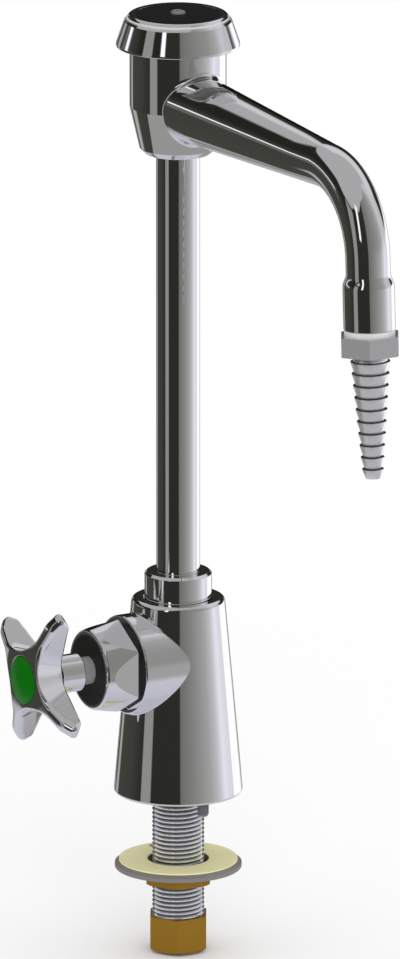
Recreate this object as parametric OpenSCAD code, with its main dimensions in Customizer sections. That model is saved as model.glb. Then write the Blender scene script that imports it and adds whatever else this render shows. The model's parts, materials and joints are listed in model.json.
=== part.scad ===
// Laboratory gooseneck tap: turret with one cross-handle valve, riser, vacuum breaker spout and hose nozzle.
// Millimetres. +Z is up and z = 0 is the deck. The spout rests along -Y and the handle along -X.

/* [Turret] */
// Radius of the turret where it stands on the deck
turret_base_r = 25.8; // [25.2:0.1:28]
// Radius of the turret just under its rounded lip
turret_top_r = 18.6; // [18.2:0.1:20]
// Radius of the rounded lip
turret_lip = 2; // [1.2:0.1:2.5]
// Wall of the hollow skirt
skirt_wall = 3.5; // [2.5:0.1:4.5]
// Height of the hollow under the skirt
skirt_depth = 24; // [20:0.5:25]
// Height of the valve axis above the deck
valve_z = 55.3; // [54.5:0.1:62]
// Height of the turret's top above the valve axis
top_above_valve = 25; // [24.6:0.1:34]
// Radius of the side boss that takes the valve
boss_r = 20; // [18.5:0.1:20.4]
// Distance of the boss's mouth from the turret's axis
boss_reach = 25.6; // [24.8:0.1:30]

/* [Deck fixing] */
// Crest radius of the threaded shank
shank_r = 10.42; // [10.1:0.01:10.6]
// Pitch of the shank's thread
shank_pitch = 1.8143; // [1.5:0.0001:2.2]
// Depth of the shank's thread
shank_thread_depth = 1.15; // [0.8:0.01:1.2]
// Bore of the shank, as a radius
shank_bore_r = 6.7; // [6.6:0.05:7.2]
// Length of the shank below the deck
shank_below = 60.3; // [58:0.1:80]
// Length of the shank screwed into the turret
shank_above = 18; // [12:0.5:19]
// Distance of the locating stud from the turret's axis
stud_offset = 20.1; // [19:0.1:20.5]
// Radius of the locating stud
stud_r = 2.35; // [2:0.05:2.5]
// How far the locating stud stands below the deck
stud_below = 5.9; // [3:0.1:8]
// Radius of the steel deck washer
washer_r = 25.4; // [24:0.1:28]
// Hole in the deck washers, as a radius
washer_hole_r = 12.35; // [11.5:0.05:13]
// Thickness of the steel deck washer
washer_t = 2.8; // [2:0.1:4]
// Radius of the fibre washer
fibre_r = 23.75; // [22:0.05:23.8]
// Thickness of the fibre washer
fibre_t = 0.5; // [0.5:0.1:1.5]
// Depth below the deck of the fibre washer's top face, as set for shipping
clamp_rest = 28.3; // [26:0.1:30]
// Lock nut across its flats
lock_af = 25.4; // [24:0.1:28]
// Height of the lock nut
lock_h = 6.2; // [5:0.1:8]
// Coupling nut across its flats
coupling_af = 22.3; // [22:0.05:25.4]
// Height of the coupling nut
coupling_h = 14; // [12:0.1:18]
// Hole for the supply tube, as a radius
supply_r = 6.6; // [6.4:0.05:6.6]

/* [Valve] */
// Radius of the valve chamber
chamber_r = 9.5; // [9.3:0.05:9.6]
// How far the plunger lifts off its seat
valve_lift = 3; // [2:0.1:3.4]
// Radius of the valve stem
stem_r = 5.55; // [5.4:0.05:5.8]
// Length of stem that shows in front of the bonnet
stem_show = 5.1; // [3:0.1:8]
// Length of the bonnet's head
bonnet_l = 13.4; // [12.5:0.1:16]
// Radius of the bonnet's head at its rear
bonnet_rear_r = 18.9; // [18.6:0.1:19.5]
// Radius of the bonnet's head at its front
bonnet_front_r = 16; // [15.5:0.1:16.3]
// Bonnet across its wrench flats
bonnet_af = 33.2; // [33:0.1:35]
// Thickness of the ring behind the bonnet
bonnet_gasket_t = 1.9; // [1.2:0.1:2.5]

/* [Handle] */
// Radius of the handle's tips
handle_r = 33; // [30:0.5:38]
// Turn of the handle's first arm from straight up, towards the spout
handle_angle = 30; // [0:1:89]
// Width of an arm
arm_w = 6.6; // [6:0.1:8]
// Radius of the hollow between two arms
valley_r = 15; // [12:0.5:16]
// Length of the hub's round skirt
hub_skirt_l = 11; // [9:0.1:14]
// Radius of the hub's round skirt
hub_r = 7.65; // [7.4:0.05:8]
// Thickness of the cross from its back to its front
cross_t = 14; // [13:0.1:16]
// Radius of the index button
button_r = 9.55; // [9:0.05:10]
// Height of the button's dome
button_dome = 1.6; // [0.8:0.1:2.5]

/* [Riser] */
// Radius of the riser
riser_r = 8.7; // [8.6:0.05:8.8]
// Bore of the riser, as a radius
riser_bore_r = 6.2; // [5.5:0.05:6.4]
// Distance from the turret's top to the breaker's bottom
riser_clear = 182.4; // [100:0.5:300]
// Radius of the round collar
collar_r = 13.45; // [13:0.05:14]
// Height of the collar above the turret
collar_h = 10.7; // [9:0.1:16]

/* [Vacuum breaker] */
// Radius of the breaker's body
breaker_r = 19.2; // [18.8:0.05:20]
// Radius of the float chamber
float_chamber_r = 14.2; // [13.8:0.05:14.3]
// How far the float rises
float_lift = 4; // [3:0.1:5]
// Radius of the hood's lower rim
cap_rim_r = 24.55; // [24:0.05:26]
// Radius of the hood's shoulder
cap_shoulder_r = 21.4; // [20.8:0.05:22]
// Height of the hood
cap_h = 12.9; // [11:0.1:13.5]
// Radius of the black disc in the hood
label_r = 16.5; // [15:0.1:17]
// Radius of the hood's screw head
cap_screw_head_r = 2.95; // [2.6:0.05:4]

/* [Spout] */
// Radius of the arm where its cone meets the riser's axis
arm_root_r = 14.6; // [13.8:0.05:14.8]
// Radius of the bent tube
tube_r = 8.8; // [8.6:0.05:9.2]
// Wall of the bent tube
tube_wall = 2.2; // [1.5:0.1:2.4]
// Length of the straight arm from the riser's axis
arm_len = 118; // [80:1:180]
// Radius of the bend, at the middle of the tube
elbow_r = 32.5; // [28:0.5:45]
// Angle of the bend
elbow_sweep = 87; // [75:1:90]
// Radius of the swelled outlet
outlet_r = 10.2; // [10:0.05:10.8]
// Length of the outlet from the bend to its mouth
outlet_len = 27.7; // [26:0.1:40]
// Nozzle across its flats
nozzle_af = 22.3; // [21:0.1:24]
// Number of barbs
barbs = 10; // [6:1:12]
// Distance from one barb to the next
barb_pitch = 4.775; // [4:0.005:5.5]
// Radius of the widest barb
barb_r = 7.8; // [7.4:0.05:8.2]
// Radius of the narrowest barb
barb_end_r = 4.25; // [4.1:0.05:5]

/* [Hidden] */
$fn = 96;

chrome = [0.78, 0.78, 0.82];
satin = [0.70, 0.70, 0.73];
brass = [0.55, 0.41, 0.13];
steel = [0.49, 0.47, 0.46];
rubber = [0.10, 0.10, 0.10];
plastic = [0.86, 0.85, 0.80];

// Clearances: a running or screwed fit, and the space round a part that only passes through
fit = 0.05;
pass = 0.25;

// Turret levels and passages
turret_h = valve_z + top_above_valve;
collar_seat_z = turret_h - 2.5;
flange_floor_z = turret_h - 9.1;
socket_floor_z = turret_h - 13.3;
skirt_boss_r = shank_r + 4.6;
gasket_t = 1.5;
gasket_in_r = shank_r + 1;
inlet_r = 3.8;
inlet_cross_z = skirt_depth + inlet_r + 2.2;
inlet_x = 13.3;
outlet_x = 2.4;
outlet_hole_r = 4.4;

// Valve levels, counted from the turret's axis towards the handle
seat_face = -5;
seat_floor = -7;
seat_back = -9.5;
seat_hole_r = 3.8;
seat_rim_r = 4.9;
seat_thread_r = 7.5;
back_end = -inlet_x - inlet_r + 0.6;
bonnet_neck_l = 9.6;
neck_r = 14;
housing_flange_t = 3;
housing_step = boss_reach - bonnet_neck_l - housing_flange_t;
housing_start = 2;
guide_r = 6.6;
key_r = 7.6;
key_w = 2.6;
stem_shoulder = housing_step + 7.2;
stem_flange_t = 1.9;
bonnet_rear = boss_reach + bonnet_gasket_t;
bonnet_front = bonnet_rear + bonnet_l;
bonnet_front_t = 2.7;
wiper_t = 1.7;
housing_end = bonnet_front - bonnet_front_t - wiper_t;
upper_barrel_r = 9.3;
washer_rubber_t = 3;
plunger_front = seat_face + washer_rubber_t;
plunger_rear = stem_shoulder - stem_flange_t - valve_lift - 0.8;
plunger_nose = plunger_front + 5;
stem_tip = plunger_nose + valve_lift + 0.8;
stem_grooves = [stem_shoulder + 3, stem_shoulder + 7.5];
drive_r = 3.6;
seal_w = 1.6;
seal_r = 0.75;
hub_rear = bonnet_front + stem_show;
stem_square = 7.6;
square_start = hub_rear + 2;
cross_rear = hub_rear + hub_skirt_l;
cross_front = cross_rear + cross_t;
stem_end = cross_rear + 3;
screw_seat = stem_end + 2;
screw_head_r = 3.9;
screw_head_t = 2.6;
screw_r = 2;
button_recess = 1;

// Riser and breaker levels
riser_flange_t = 1.6;
riser_flange_r = 10.9;
riser_end_z = socket_floor_z + 0.4;
riser_seal_w = 2.4;
riser_seal_r = 1.05;
riser_groove_r = 7.7;
collar_top_z = turret_h + collar_h;
collar_in_r = 10.4;
collar_thread_r = 12;
collar_lip_t = 4.9;
breaker_z = turret_h + riser_clear;
pipe_socket = 10;
breaker_foot_r = 15.3;
seat_low_z = breaker_z + 11.8;
air_seat_r = 9;
chamber_floor_z = breaker_z + 13.3;
float_seat_z = chamber_floor_z + 3;
arm_z = breaker_z + 20.8;
arm_bore_r = arm_z - chamber_floor_z - 0.3;
float_h = 9;
float_disc_t = 2;
ledge_z = float_seat_z + 2 * float_disc_t + float_h + float_lift + fit;
breaker_thread_r = 15.45;
breaker_top_z = ledge_z + 14;
bridge_top_z = ledge_z + 21;
cap_wall = 1.5;
cap_t = 2.2;
cap_top_z = bridge_top_z + cap_t;
label_t = 0.5;
label_sink = 0.4;
ring_t = 6;
hub_guide_r = 2.1;
float_stem_r = hub_guide_r - fit;

// Outlet levels, counted from the bend's end towards the nozzle's tip
bend_step = 0.01;
swage_start = 5.7;
swage_len = 5;
outlet_gasket_t = 2.1;
nozzle_thread_r = 8;
nozzle_thread_l = 9;
hex_start = outlet_len + outlet_gasket_t;
hex_h = 7.9;
neck_h = 2.65;
neck_barb_r = 6.85;
barb_start = hex_start + hex_h + neck_h;
barb_drop = 1.4;
barb_last_l = 3.9;
barb_tip = barb_start + barb_pitch * (barbs - 1) + barb_last_l;
nozzle_bore_r = 1.9;

// Deck fixing levels
coupling_floor_t = 2.2;
friction_t = 1;
cone_flange_t = 1.8;
coupling_bottom = shank_below + cone_flange_t + friction_t + coupling_floor_t;
coupling_top = coupling_bottom - coupling_h;
nut_thread_r = shank_r + fit;

// Points of an arc in a flat outline, from one angle to another
function arc(c, r, a0, a1, n = 5) = [for (i = [0:n]) c + r * [cos(a0 + (a1 - a0) * i / n),
    sin(a0 + (a1 - a0) * i / n)]];

// Outline of a threaded rod from z0 up to z1: ring grooves of the thread's depth and pitch
function thread_points(r, depth, pitch, z0, z1) =
    let (n = floor((z1 - z0) / pitch), flat = pitch / 8, flank = pitch * 3 / 8)
    [for (i = [0:n - 1], p = [[r, 0], [r, flat], [r - depth, flat + flank], [r - depth, 2 * flat + flank]])
        [p[0], z0 + i * pitch + p[1]]];

// A ring or tube about Z from z0 to z1
module tube(r_out, r_in, z0, z1) {
    difference() {
        translate([0, 0, z0]) cylinder(r = r_out, h = z1 - z0);
        translate([0, 0, z0 - 1]) cylinder(r = r_in, h = z1 - z0 + 2);
    }
}

module rod(r, z0, z1) {
    translate([0, 0, z0]) cylinder(r = r, h = z1 - z0);
}

// A hexagonal prism, with one corner turned to the given angle
module hex(af, z0, z1, corner = 0) {
    rotate([0, 0, corner]) translate([0, 0, z0]) cylinder(r = af / sqrt(3), h = z1 - z0, $fn = 6);
}

// A hexagonal nut blank whose corners are turned off at the chosen ends
module nut_blank(af, z0, z1, corner, low_cut, high_cut) {
    big = af / sqrt(3) + 0.3;
    intersection() {
        hex(af, z0, z1, corner);
        rotate_extrude() polygon([[0, z0], [big - low_cut, z0], [big, z0 + low_cut * 0.6],
            [big, z1 - high_cut * 0.6], [big - high_cut, z1], [0, z1]]);
    }
}

module o_ring(r_mid, r_minor, z) {
    translate([0, 0, z]) rotate_extrude() translate([r_mid, 0]) circle(r = r_minor, $fn = 32);
}

// Local +Z runs along the valve's axis, from the turret's axis out to the handle
module toward_handle() {
    translate([0, 0, valve_z]) rotate([0, -90, 0]) children();
}

// Local +Z runs from the bend's end out through the nozzle's tip
module at_outlet() {
    translate([0, -arm_len - elbow_r * sin(elbow_sweep), arm_z - elbow_r + elbow_r * cos(elbow_sweep)])
        rotate([90 + elbow_sweep, 0, 0]) children();
}

module turret_outside() {
    lip_z = turret_h - turret_lip;
    rotate_extrude() polygon(concat([[0, 0]], arc([turret_base_r - 1, 1], 1, -90, 0, 3),
        arc([turret_top_r - turret_lip, lip_z], turret_lip, 0, 90, 5), [[0, turret_h]]));
    toward_handle() rotate_extrude() polygon([[0, 0], [boss_r, 0], [boss_r, boss_reach - 0.8],
        [boss_r - 0.8, boss_reach], [0, boss_reach]]);
}

// The hollow skirt, with a boss round the shank and a boss on the wall for the stud
module skirt_hollow() {
    difference() {
        translate([0, 0, -1]) cylinder(r1 = turret_base_r - skirt_wall, r2 = turret_base_r - skirt_wall
            - skirt_depth * (turret_base_r - turret_top_r) / turret_h, h = skirt_depth + 1);
        rod(skirt_boss_r, -2, skirt_depth + 1);
        translate([0, -stud_offset, 0]) rod(stud_r + 1.9, -2, skirt_depth + 1);
    }
    tube(turret_base_r - skirt_wall + 1.7, gasket_in_r, -1, gasket_t);
}

module turret_body() {
    color(chrome) difference() {
        turret_outside();
        skirt_hollow();
        rod(shank_r + fit, -1, shank_above);
        translate([0, -stud_offset, 0]) rod(stud_r + fit, -1, 12);
        // Water way from the shank to the back of the seat
        rod(riser_bore_r, shank_above - 1, inlet_cross_z);
        translate([0, 0, inlet_cross_z]) rotate([0, 90, 0]) cylinder(r = inlet_r, h = inlet_x);
        translate([inlet_x, 0, 0]) rod(inlet_r, inlet_cross_z, valve_z);
        toward_handle() {
            rod(seat_hole_r + 1.4, back_end, seat_back + 0.5);
            rod(seat_thread_r, seat_back, seat_floor + 0.5);
            rod(chamber_r, seat_floor, housing_step + 0.5);
            rod(neck_r, housing_step, boss_reach + 1);
        }
        // Water way from the chamber up to the riser's socket
        translate([outlet_x, 0, 0]) rod(outlet_hole_r, valve_z, socket_floor_z + 0.5);
        rod(riser_flange_r - 1, socket_floor_z, flange_floor_z + 0.5);
        rod(collar_thread_r + fit, flange_floor_z, collar_seat_z + 0.5);
        rod(collar_r + 0.6, collar_seat_z, turret_h + 1);
    }
}

module base_gasket() {
    color(rubber) difference() {
        tube(turret_base_r - skirt_wall + 1.6, gasket_in_r + 0.1, 0, gasket_t);
        translate([0, -stud_offset, 0]) rod(stud_r + 0.2, -1, gasket_t + 1);
    }
}

module inlet_shank() {
    top_plain = 2;
    points = thread_points(shank_r, shank_thread_depth, shank_pitch, -shank_below, shank_above - top_plain);
    last = points[len(points) - 1];
    color(chrome) difference() {
        rotate_extrude() polygon(concat([[0, -shank_below]], points,
            [[last[0], shank_above - top_plain], [shank_r - 0.3, shank_above - top_plain],
            [shank_r - 0.3, shank_above], [0, shank_above]]));
        rod(shank_bore_r, -shank_below - 1, shank_above + 1);
        // Cone that the washer's nose fits
        translate([0, 0, -shank_below - 0.01]) cylinder(r1 = shank_bore_r + 1.7, r2 = shank_bore_r, h = 1.7);
    }
}

module locating_stud() {
    pitch = 0.8;
    points = thread_points(stud_r, 0.35, pitch, -stud_below + 0.5, 10);
    color(steel) translate([0, -stud_offset, 0]) rotate_extrude() polygon(concat([[0, -stud_below],
        [stud_r - 0.5, -stud_below]], points, [[stud_r - 0.4, 10.5], [0, 10.5]]));
}

module coupling_nut() {
    color(brass) difference() {
        nut_blank(coupling_af, -coupling_bottom, -coupling_top, 0, 1.9, 0);
        rod(nut_thread_r, -coupling_bottom + coupling_floor_t, -coupling_top + 1);
        rod(supply_r, -coupling_bottom - 1, -coupling_top);
        translate([0, 0, -coupling_top - 0.5]) cylinder(r1 = nut_thread_r, r2 = nut_thread_r + 0.6, h = 0.51);
    }
}

module friction_ring() {
    color(brass) tube(nut_thread_r - 0.2, supply_r + fit, -coupling_bottom + coupling_floor_t,
        -coupling_bottom + coupling_floor_t + friction_t);
}

module cone_washer() {
    low = -shank_below - cone_flange_t;
    in_r = supply_r + fit;
    color(rubber) rotate_extrude() polygon([[in_r, low], [nut_thread_r - 0.2, low],
        [nut_thread_r - 0.2, -shank_below], [shank_bore_r + 1.55, -shank_below],
        [in_r + 0.3, -shank_below + 1.1], [in_r, -shank_below + 1.1]]);
}

// The clamp's washers share a small hole for a pin, on the side away from the spout
module washer_cuts() {
    rod(washer_hole_r, -clamp_rest - 20, -clamp_rest + 1);
    translate([0, stud_offset, 0]) rod(2, -clamp_rest - 20, -clamp_rest + 1);
}

module fibre_washer() {
    color([0.85, 0.84, 0.61]) difference() {
        rod(fibre_r, -clamp_rest - fibre_t, -clamp_rest);
        washer_cuts();
    }
}

module deck_washer() {
    top = -clamp_rest - fibre_t;
    bottom = top - washer_t;
    bevel = washer_r - fibre_r;
    color(steel) difference() {
        rotate_extrude() polygon([[0, bottom], [washer_r - 0.2, bottom], [washer_r, bottom + 0.2],
            [washer_r, top - bevel * 0.7], [fibre_r, top], [0, top]]);
        washer_cuts();
    }
}

module lock_nut() {
    top = -clamp_rest - fibre_t - washer_t;
    color(brass) difference() {
        nut_blank(lock_af, top - lock_h, top, 0, 1.3, 1.3);
        rod(nut_thread_r, top - lock_h - 1, top + 1);
    }
}

module valve_seat() {
    color(brass) toward_handle() rotate_extrude() polygon([[seat_hole_r, seat_back],
        [seat_thread_r - fit, seat_back], [seat_thread_r - fit, seat_floor], [seat_rim_r + 1.3, seat_floor + 0.8],
        [seat_rim_r, seat_floor + 0.8], [seat_rim_r, seat_face], [seat_hole_r, seat_face]]);
}

module cartridge_housing() {
    groove_z = housing_start + 2.4;
    color(brass) toward_handle() difference() {
        union() {
            rod(chamber_r - fit, housing_start, housing_step + 0.1);
            rod(neck_r - 0.3, housing_step, housing_step + housing_flange_t);
            rod(upper_barrel_r, housing_step + housing_flange_t - 0.1, housing_end);
        }
        rod(guide_r, housing_start - 1, stem_shoulder);
        rod(stem_r + fit, stem_shoulder - 1, housing_end + 1);
        tube(chamber_r + 1, chamber_r - 1.5, groove_z, groove_z + seal_w + 0.2);
        // Two slots that keep the plunger from turning
        translate([-key_r, -key_w / 2 - fit, housing_start + 6.6])
            cube([2 * key_r, key_w + 2 * fit, stem_shoulder - housing_start - 6.6 - stem_flange_t]);
    }
}

module cartridge_seal() {
    color(rubber) toward_handle()
        o_ring(chamber_r - seal_r - 0.02, seal_r - 0.03, housing_start + 2.4 + seal_w / 2 + 0.1);
}

module bonnet_gasket() {
    color(rubber) toward_handle() tube(bonnet_af / 2 - 0.4, neck_r + fit, boss_reach, bonnet_rear);
}

module bonnet() {
    round_r = 1.2;
    color(chrome) toward_handle() difference() {
        union() {
            rod(neck_r - fit, boss_reach - bonnet_neck_l, bonnet_rear + 0.1);
            intersection() {
                rotate_extrude() polygon(concat([[0, bonnet_rear], [bonnet_rear_r, bonnet_rear]],
                    arc([bonnet_front_r - round_r, bonnet_front - round_r], round_r, 10, 90, 4),
                    [[0, bonnet_front]]));
                hex(bonnet_af, bonnet_rear - 1, bonnet_front + 1, 0);
            }
        }
        rod(upper_barrel_r + 0.1, boss_reach - bonnet_neck_l - 1, bonnet_front - bonnet_front_t);
        rod(stem_r + pass, bonnet_front - bonnet_front_t - 1, bonnet_front + 1);
    }
}

module wiper_ring() {
    color(rubber) toward_handle() tube(upper_barrel_r, stem_r + 0.08, housing_end, housing_end + wiper_t);
}

module plunger() {
    groove = plunger_front + 5.5;
    keys = housing_start + 7.3;
    color(brass) toward_handle() difference() {
        union() {
            rod(guide_r - fit, plunger_front, plunger_rear);
            translate([-key_r + 0.1, -key_w / 2, keys])
                cube([2 * key_r - 0.2, key_w, plunger_rear - keys]);
        }
        rod(drive_r + fit, plunger_nose, plunger_rear + 1);
        rod(1.5 + fit, plunger_front - 1, plunger_nose - 1);
        tube(guide_r + 1, guide_r - 1.4, groove, groove + seal_w);
    }
}

module plunger_seal() {
    color(rubber) toward_handle()
        o_ring(guide_r - 0.68, 0.64, plunger_front + 5.5 + seal_w / 2);
}

module seat_washer() {
    color(rubber) toward_handle() tube(guide_r - 0.5, 1.5 + fit, seat_face, plunger_front);
}

module seat_screw() {
    color(brass) toward_handle() {
        rod(1.5, seat_face - 0.1, plunger_front + 3.5);
        difference() {
            rod(seat_hole_r - 0.8, seat_face - 1.6, seat_face);
            translate([-5, -0.4, seat_face - 2.6]) cube([10, 0.8, 1.6]);
        }
    }
}

module stem() {
    color(chrome) toward_handle() difference() {
        union() {
            rod(drive_r, stem_tip, stem_shoulder - stem_flange_t + 0.1);
            rod(guide_r - 0.15, stem_shoulder - stem_flange_t, stem_shoulder);
            rod(stem_r, stem_shoulder - 0.1, square_start);
            intersection() {
                rod(stem_r, square_start - 0.1, stem_end);
                translate([-stem_square / 2, -stem_square / 2, square_start - 0.1])
                    cube([stem_square, stem_square, stem_end - square_start + 0.1]);
            }
        }
        rod(screw_r + fit, stem_end - 9, stem_end + 1);
        for (z = stem_grooves) tube(stem_r + 1, stem_r - 1.45, z, z + seal_w);
    }
}

module stem_seals() {
    color(rubber) toward_handle() for (z = stem_grooves) o_ring(stem_r - 0.7, 0.7, z + seal_w / 2);
}

// Outline of the cross, looking along the stem: four arms joined by round valleys
module cross_outline() {
    half = arm_w / 2;
    tip = handle_r + 1;
    rotate([0, 0, -handle_angle]) polygon([for (q = [0:3], p = concat(
        [[tip, -half], [tip, half]], arc([half + valley_r, half + valley_r], valley_r, 270, 180, 8)))
        [p[0] * cos(90 * q) - p[1] * sin(90 * q), p[0] * sin(90 * q) + p[1] * cos(90 * q)]]);
}

module handle() {
    hub_front_r = button_r + 2.5;
    color(chrome) toward_handle() difference() {
        union() {
            rod(hub_r, hub_rear, cross_rear + 1);
            intersection() {
                translate([0, 0, cross_rear - 1]) linear_extrude(height = cross_t + 2) cross_outline();
                // Side view of the arms: they lean back to rounded tips
                rotate_extrude() polygon([[0, cross_rear], [hub_r + 1, cross_rear],
                    [handle_r - 3.5, cross_rear + 2.3], [handle_r - 0.7, cross_rear + 4.3],
                    [handle_r, cross_rear + 6.6], [handle_r - 1.2, cross_rear + 8.8],
                    [handle_r - 4.5, cross_rear + 10.5], [hub_front_r + 1, cross_front - 0.4],
                    [hub_front_r, cross_front], [0, cross_front]]);
            }
            translate([0, 0, cross_rear]) cylinder(r1 = hub_r + 0.8, r2 = hub_front_r, h = cross_t);
        }
        rod(stem_r + 0.1, hub_rear - 1, square_start);
        translate([-stem_square / 2 - fit, -stem_square / 2 - fit, square_start - 0.1])
            cube([stem_square + 2 * fit, stem_square + 2 * fit, stem_end - square_start + 0.2]);
        rod(screw_r + 0.15, stem_end - 1, screw_seat + 1);
        rod(screw_head_r + 0.2, screw_seat, cross_front + 1);
        rod(button_r + 0.1, cross_front - button_recess, cross_front + 1);
    }
}

module handle_screw() {
    color(steel) toward_handle() difference() {
        union() {
            rod(screw_r, screw_seat - 9, screw_seat + 0.1);
            rod(screw_head_r, screw_seat, screw_seat + screw_head_t);
        }
        translate([-screw_head_r - 1, -0.6, screw_seat + screw_head_t - 1.2])
            cube([2 * screw_head_r + 2, 1.2, 2]);
    }
}

module index_button() {
    rim = cross_front - button_recess + 1.3;
    ball_r = (button_r * button_r + button_dome * button_dome) / (2 * button_dome);
    color([0, 0.45, 0]) toward_handle() intersection() {
        rod(button_r, cross_front - button_recess, rim + button_dome + 1);
        translate([0, 0, rim + button_dome - ball_r]) sphere(r = ball_r, $fn = 128);
    }
}

module collar() {
    low = flange_floor_z + 0.2 + riser_flange_t + fit;
    color(chrome) difference() {
        rotate_extrude() polygon([[0, low], [collar_thread_r, low], [collar_thread_r, collar_seat_z],
            [collar_r, collar_seat_z], [collar_r, collar_top_z - 1], [collar_r - 0.3, collar_top_z - 0.3],
            [collar_r - 1, collar_top_z], [0, collar_top_z]]);
        rod(collar_in_r, low - 1, collar_top_z - collar_lip_t);
        rod(riser_r + pass, low, collar_top_z + 1);
    }
}

module swivel_bush() {
    color(plastic) tube(collar_in_r - fit, riser_r + fit, flange_floor_z + 0.2 + riser_flange_t + fit,
        collar_top_z - collar_lip_t);
}

module riser_pipe() {
    flange = flange_floor_z + 0.2;
    groove = riser_end_z + 0.8;
    color(chrome) difference() {
        union() {
            rod(riser_r, riser_end_z, breaker_z + pipe_socket);
            rod(riser_flange_r, flange, flange + riser_flange_t);
        }
        rod(riser_bore_r, riser_end_z - 1, breaker_z + pipe_socket + 1);
        tube(riser_r + 1, riser_groove_r, groove, groove + riser_seal_w);
    }
}

module riser_seal() {
    middle_r = riser_flange_r - 1 - riser_seal_r - fit;
    color(rubber) o_ring(middle_r, riser_seal_r, riser_end_z + 0.8 + riser_seal_w / 2);
}

// The arm, bend and swelled outlet as one solid, shrunk by inset for the water way
module spout_shape(inset) {
    r = tube_r - inset;
    end_r = outlet_r - inset;
    end = outlet_len + (inset > 0 ? 0.5 : 0);
    root_r = inset > 0 ? arm_bore_r : arm_root_r;
    translate([0, -inset, arm_z]) rotate([90, 0, 0])
        cylinder(r1 = root_r, r2 = r + bend_step, h = arm_len - inset);
    translate([0, -arm_len, arm_z - elbow_r]) rotate([0, -90, 180])
        rotate_extrude(angle = elbow_sweep) translate([elbow_r, 0]) circle(r = r);
    at_outlet() rotate_extrude() polygon([[0, 0], [r - bend_step, 0], [r - bend_step, swage_start],
        [end_r, swage_start + swage_len], [end_r, end], [0, end]]);
}

module breaker_body() {
    color(chrome) difference() {
        union() {
            rotate_extrude() polygon([[0, breaker_z], [breaker_foot_r - 2.4, breaker_z],
                [breaker_foot_r, breaker_z + 2.3],
                [breaker_r, breaker_z + 19.3], [breaker_r, breaker_top_z - 0.5],
                [breaker_r - 0.5, breaker_top_z], [0, breaker_top_z]]);
            spout_shape(0);
        }
        spout_shape(tube_wall);
        rod(riser_r + fit, breaker_z - 1, breaker_z + pipe_socket);
        rod(riser_bore_r, breaker_z, chamber_floor_z + 1);
        rod(air_seat_r + fit, seat_low_z, chamber_floor_z + 1);
        rod(float_chamber_r, chamber_floor_z, breaker_top_z);
        rod(breaker_thread_r, ledge_z, breaker_top_z + 1);
    }
}

module breaker_seat() {
    color(brass) rotate_extrude() polygon([[riser_bore_r, seat_low_z], [air_seat_r, seat_low_z],
        [air_seat_r, chamber_floor_z], [riser_bore_r + 1.8, chamber_floor_z + 0.8], [riser_bore_r + 1.8, float_seat_z],
        [riser_bore_r, float_seat_z]]);
}

module breaker_gasket() {
    color(rubber) tube(breaker_thread_r - fit, float_chamber_r + 0.1, ledge_z, ledge_z + 0.8);
}

// Screwed ring with the air port, a guide for the float's stem and a bridge that holds the hood
module breaker_bonnet() {
    port_r = 7;
    color(brass) difference() {
        union() {
            difference() {
                union() {
                    rod(float_chamber_r - 0.1, ledge_z, ledge_z + 1);
                    rod(breaker_thread_r - fit, ledge_z + 0.8, ledge_z + ring_t);
                }
                rod(port_r, ledge_z - 1, ledge_z + ring_t + 1);
            }
            rod(4, ledge_z + 1.5, ledge_z + ring_t);
            for (i = [0:2]) rotate([0, 0, 120 * i + 30]) {
                translate([3, -1, ledge_z + 1.5]) cube([port_r - 2, 2, ring_t - 1.5]);
                translate([11, 0, 0]) rod(1.8, ledge_z + ring_t - 0.1, bridge_top_z - 3.9);
            }
            rod(12.9, bridge_top_z - 4, bridge_top_z);
        }
        rod(hub_guide_r, ledge_z, ledge_z + ring_t + 1);
        rod(screw_r + fit, bridge_top_z - 5, bridge_top_z + 1);
    }
}

module breaker_cap() {
    shoulder = cap_top_z - 2.7;
    rim = cap_top_z - cap_h;
    color(chrome) difference() {
        rotate_extrude() polygon(concat([[cap_rim_r - 0.3, rim], [cap_rim_r, rim + 0.3], [cap_rim_r, rim + 1],
            [cap_shoulder_r, shoulder]], arc([cap_shoulder_r - 3.8, cap_top_z - 3.4], 3.4, 30, 90, 4),
            [[0, cap_top_z], [0, cap_top_z - cap_t], [cap_shoulder_r - 4.2, cap_top_z - cap_t],
            [cap_shoulder_r - cap_wall - 0.4, shoulder - 0.8], [cap_rim_r - cap_wall, rim + 1],
            [cap_rim_r - cap_wall, rim]]));
        rod(label_r + 0.1, cap_top_z - label_sink, cap_top_z + 1);
        rod(screw_r + 0.1, cap_top_z - cap_t - 1, cap_top_z + 1);
    }
}

module cap_disc() {
    color(rubber) tube(label_r, screw_r + 0.1, cap_top_z - label_sink, cap_top_z - label_sink + label_t);
}

module cap_screw() {
    seat = cap_top_z - label_sink + label_t;
    color(steel) difference() {
        union() {
            rod(screw_r, bridge_top_z - 3.5, seat + 0.1);
            rotate_extrude() polygon([[0, seat], [cap_screw_head_r, seat], [cap_screw_head_r, seat + 0.5],
                [cap_screw_head_r - 0.6, seat + 1], [0, seat + 1]]);
        }
        translate([-cap_screw_head_r - 1, -0.4, seat + 0.4]) cube([2 * cap_screw_head_r + 2, 0.8, 2]);
    }
}

module outlet_gasket() {
    color(plastic) at_outlet() tube(outlet_r - 0.2, nozzle_thread_r + 0.1, outlet_len, hex_start);
}

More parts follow.
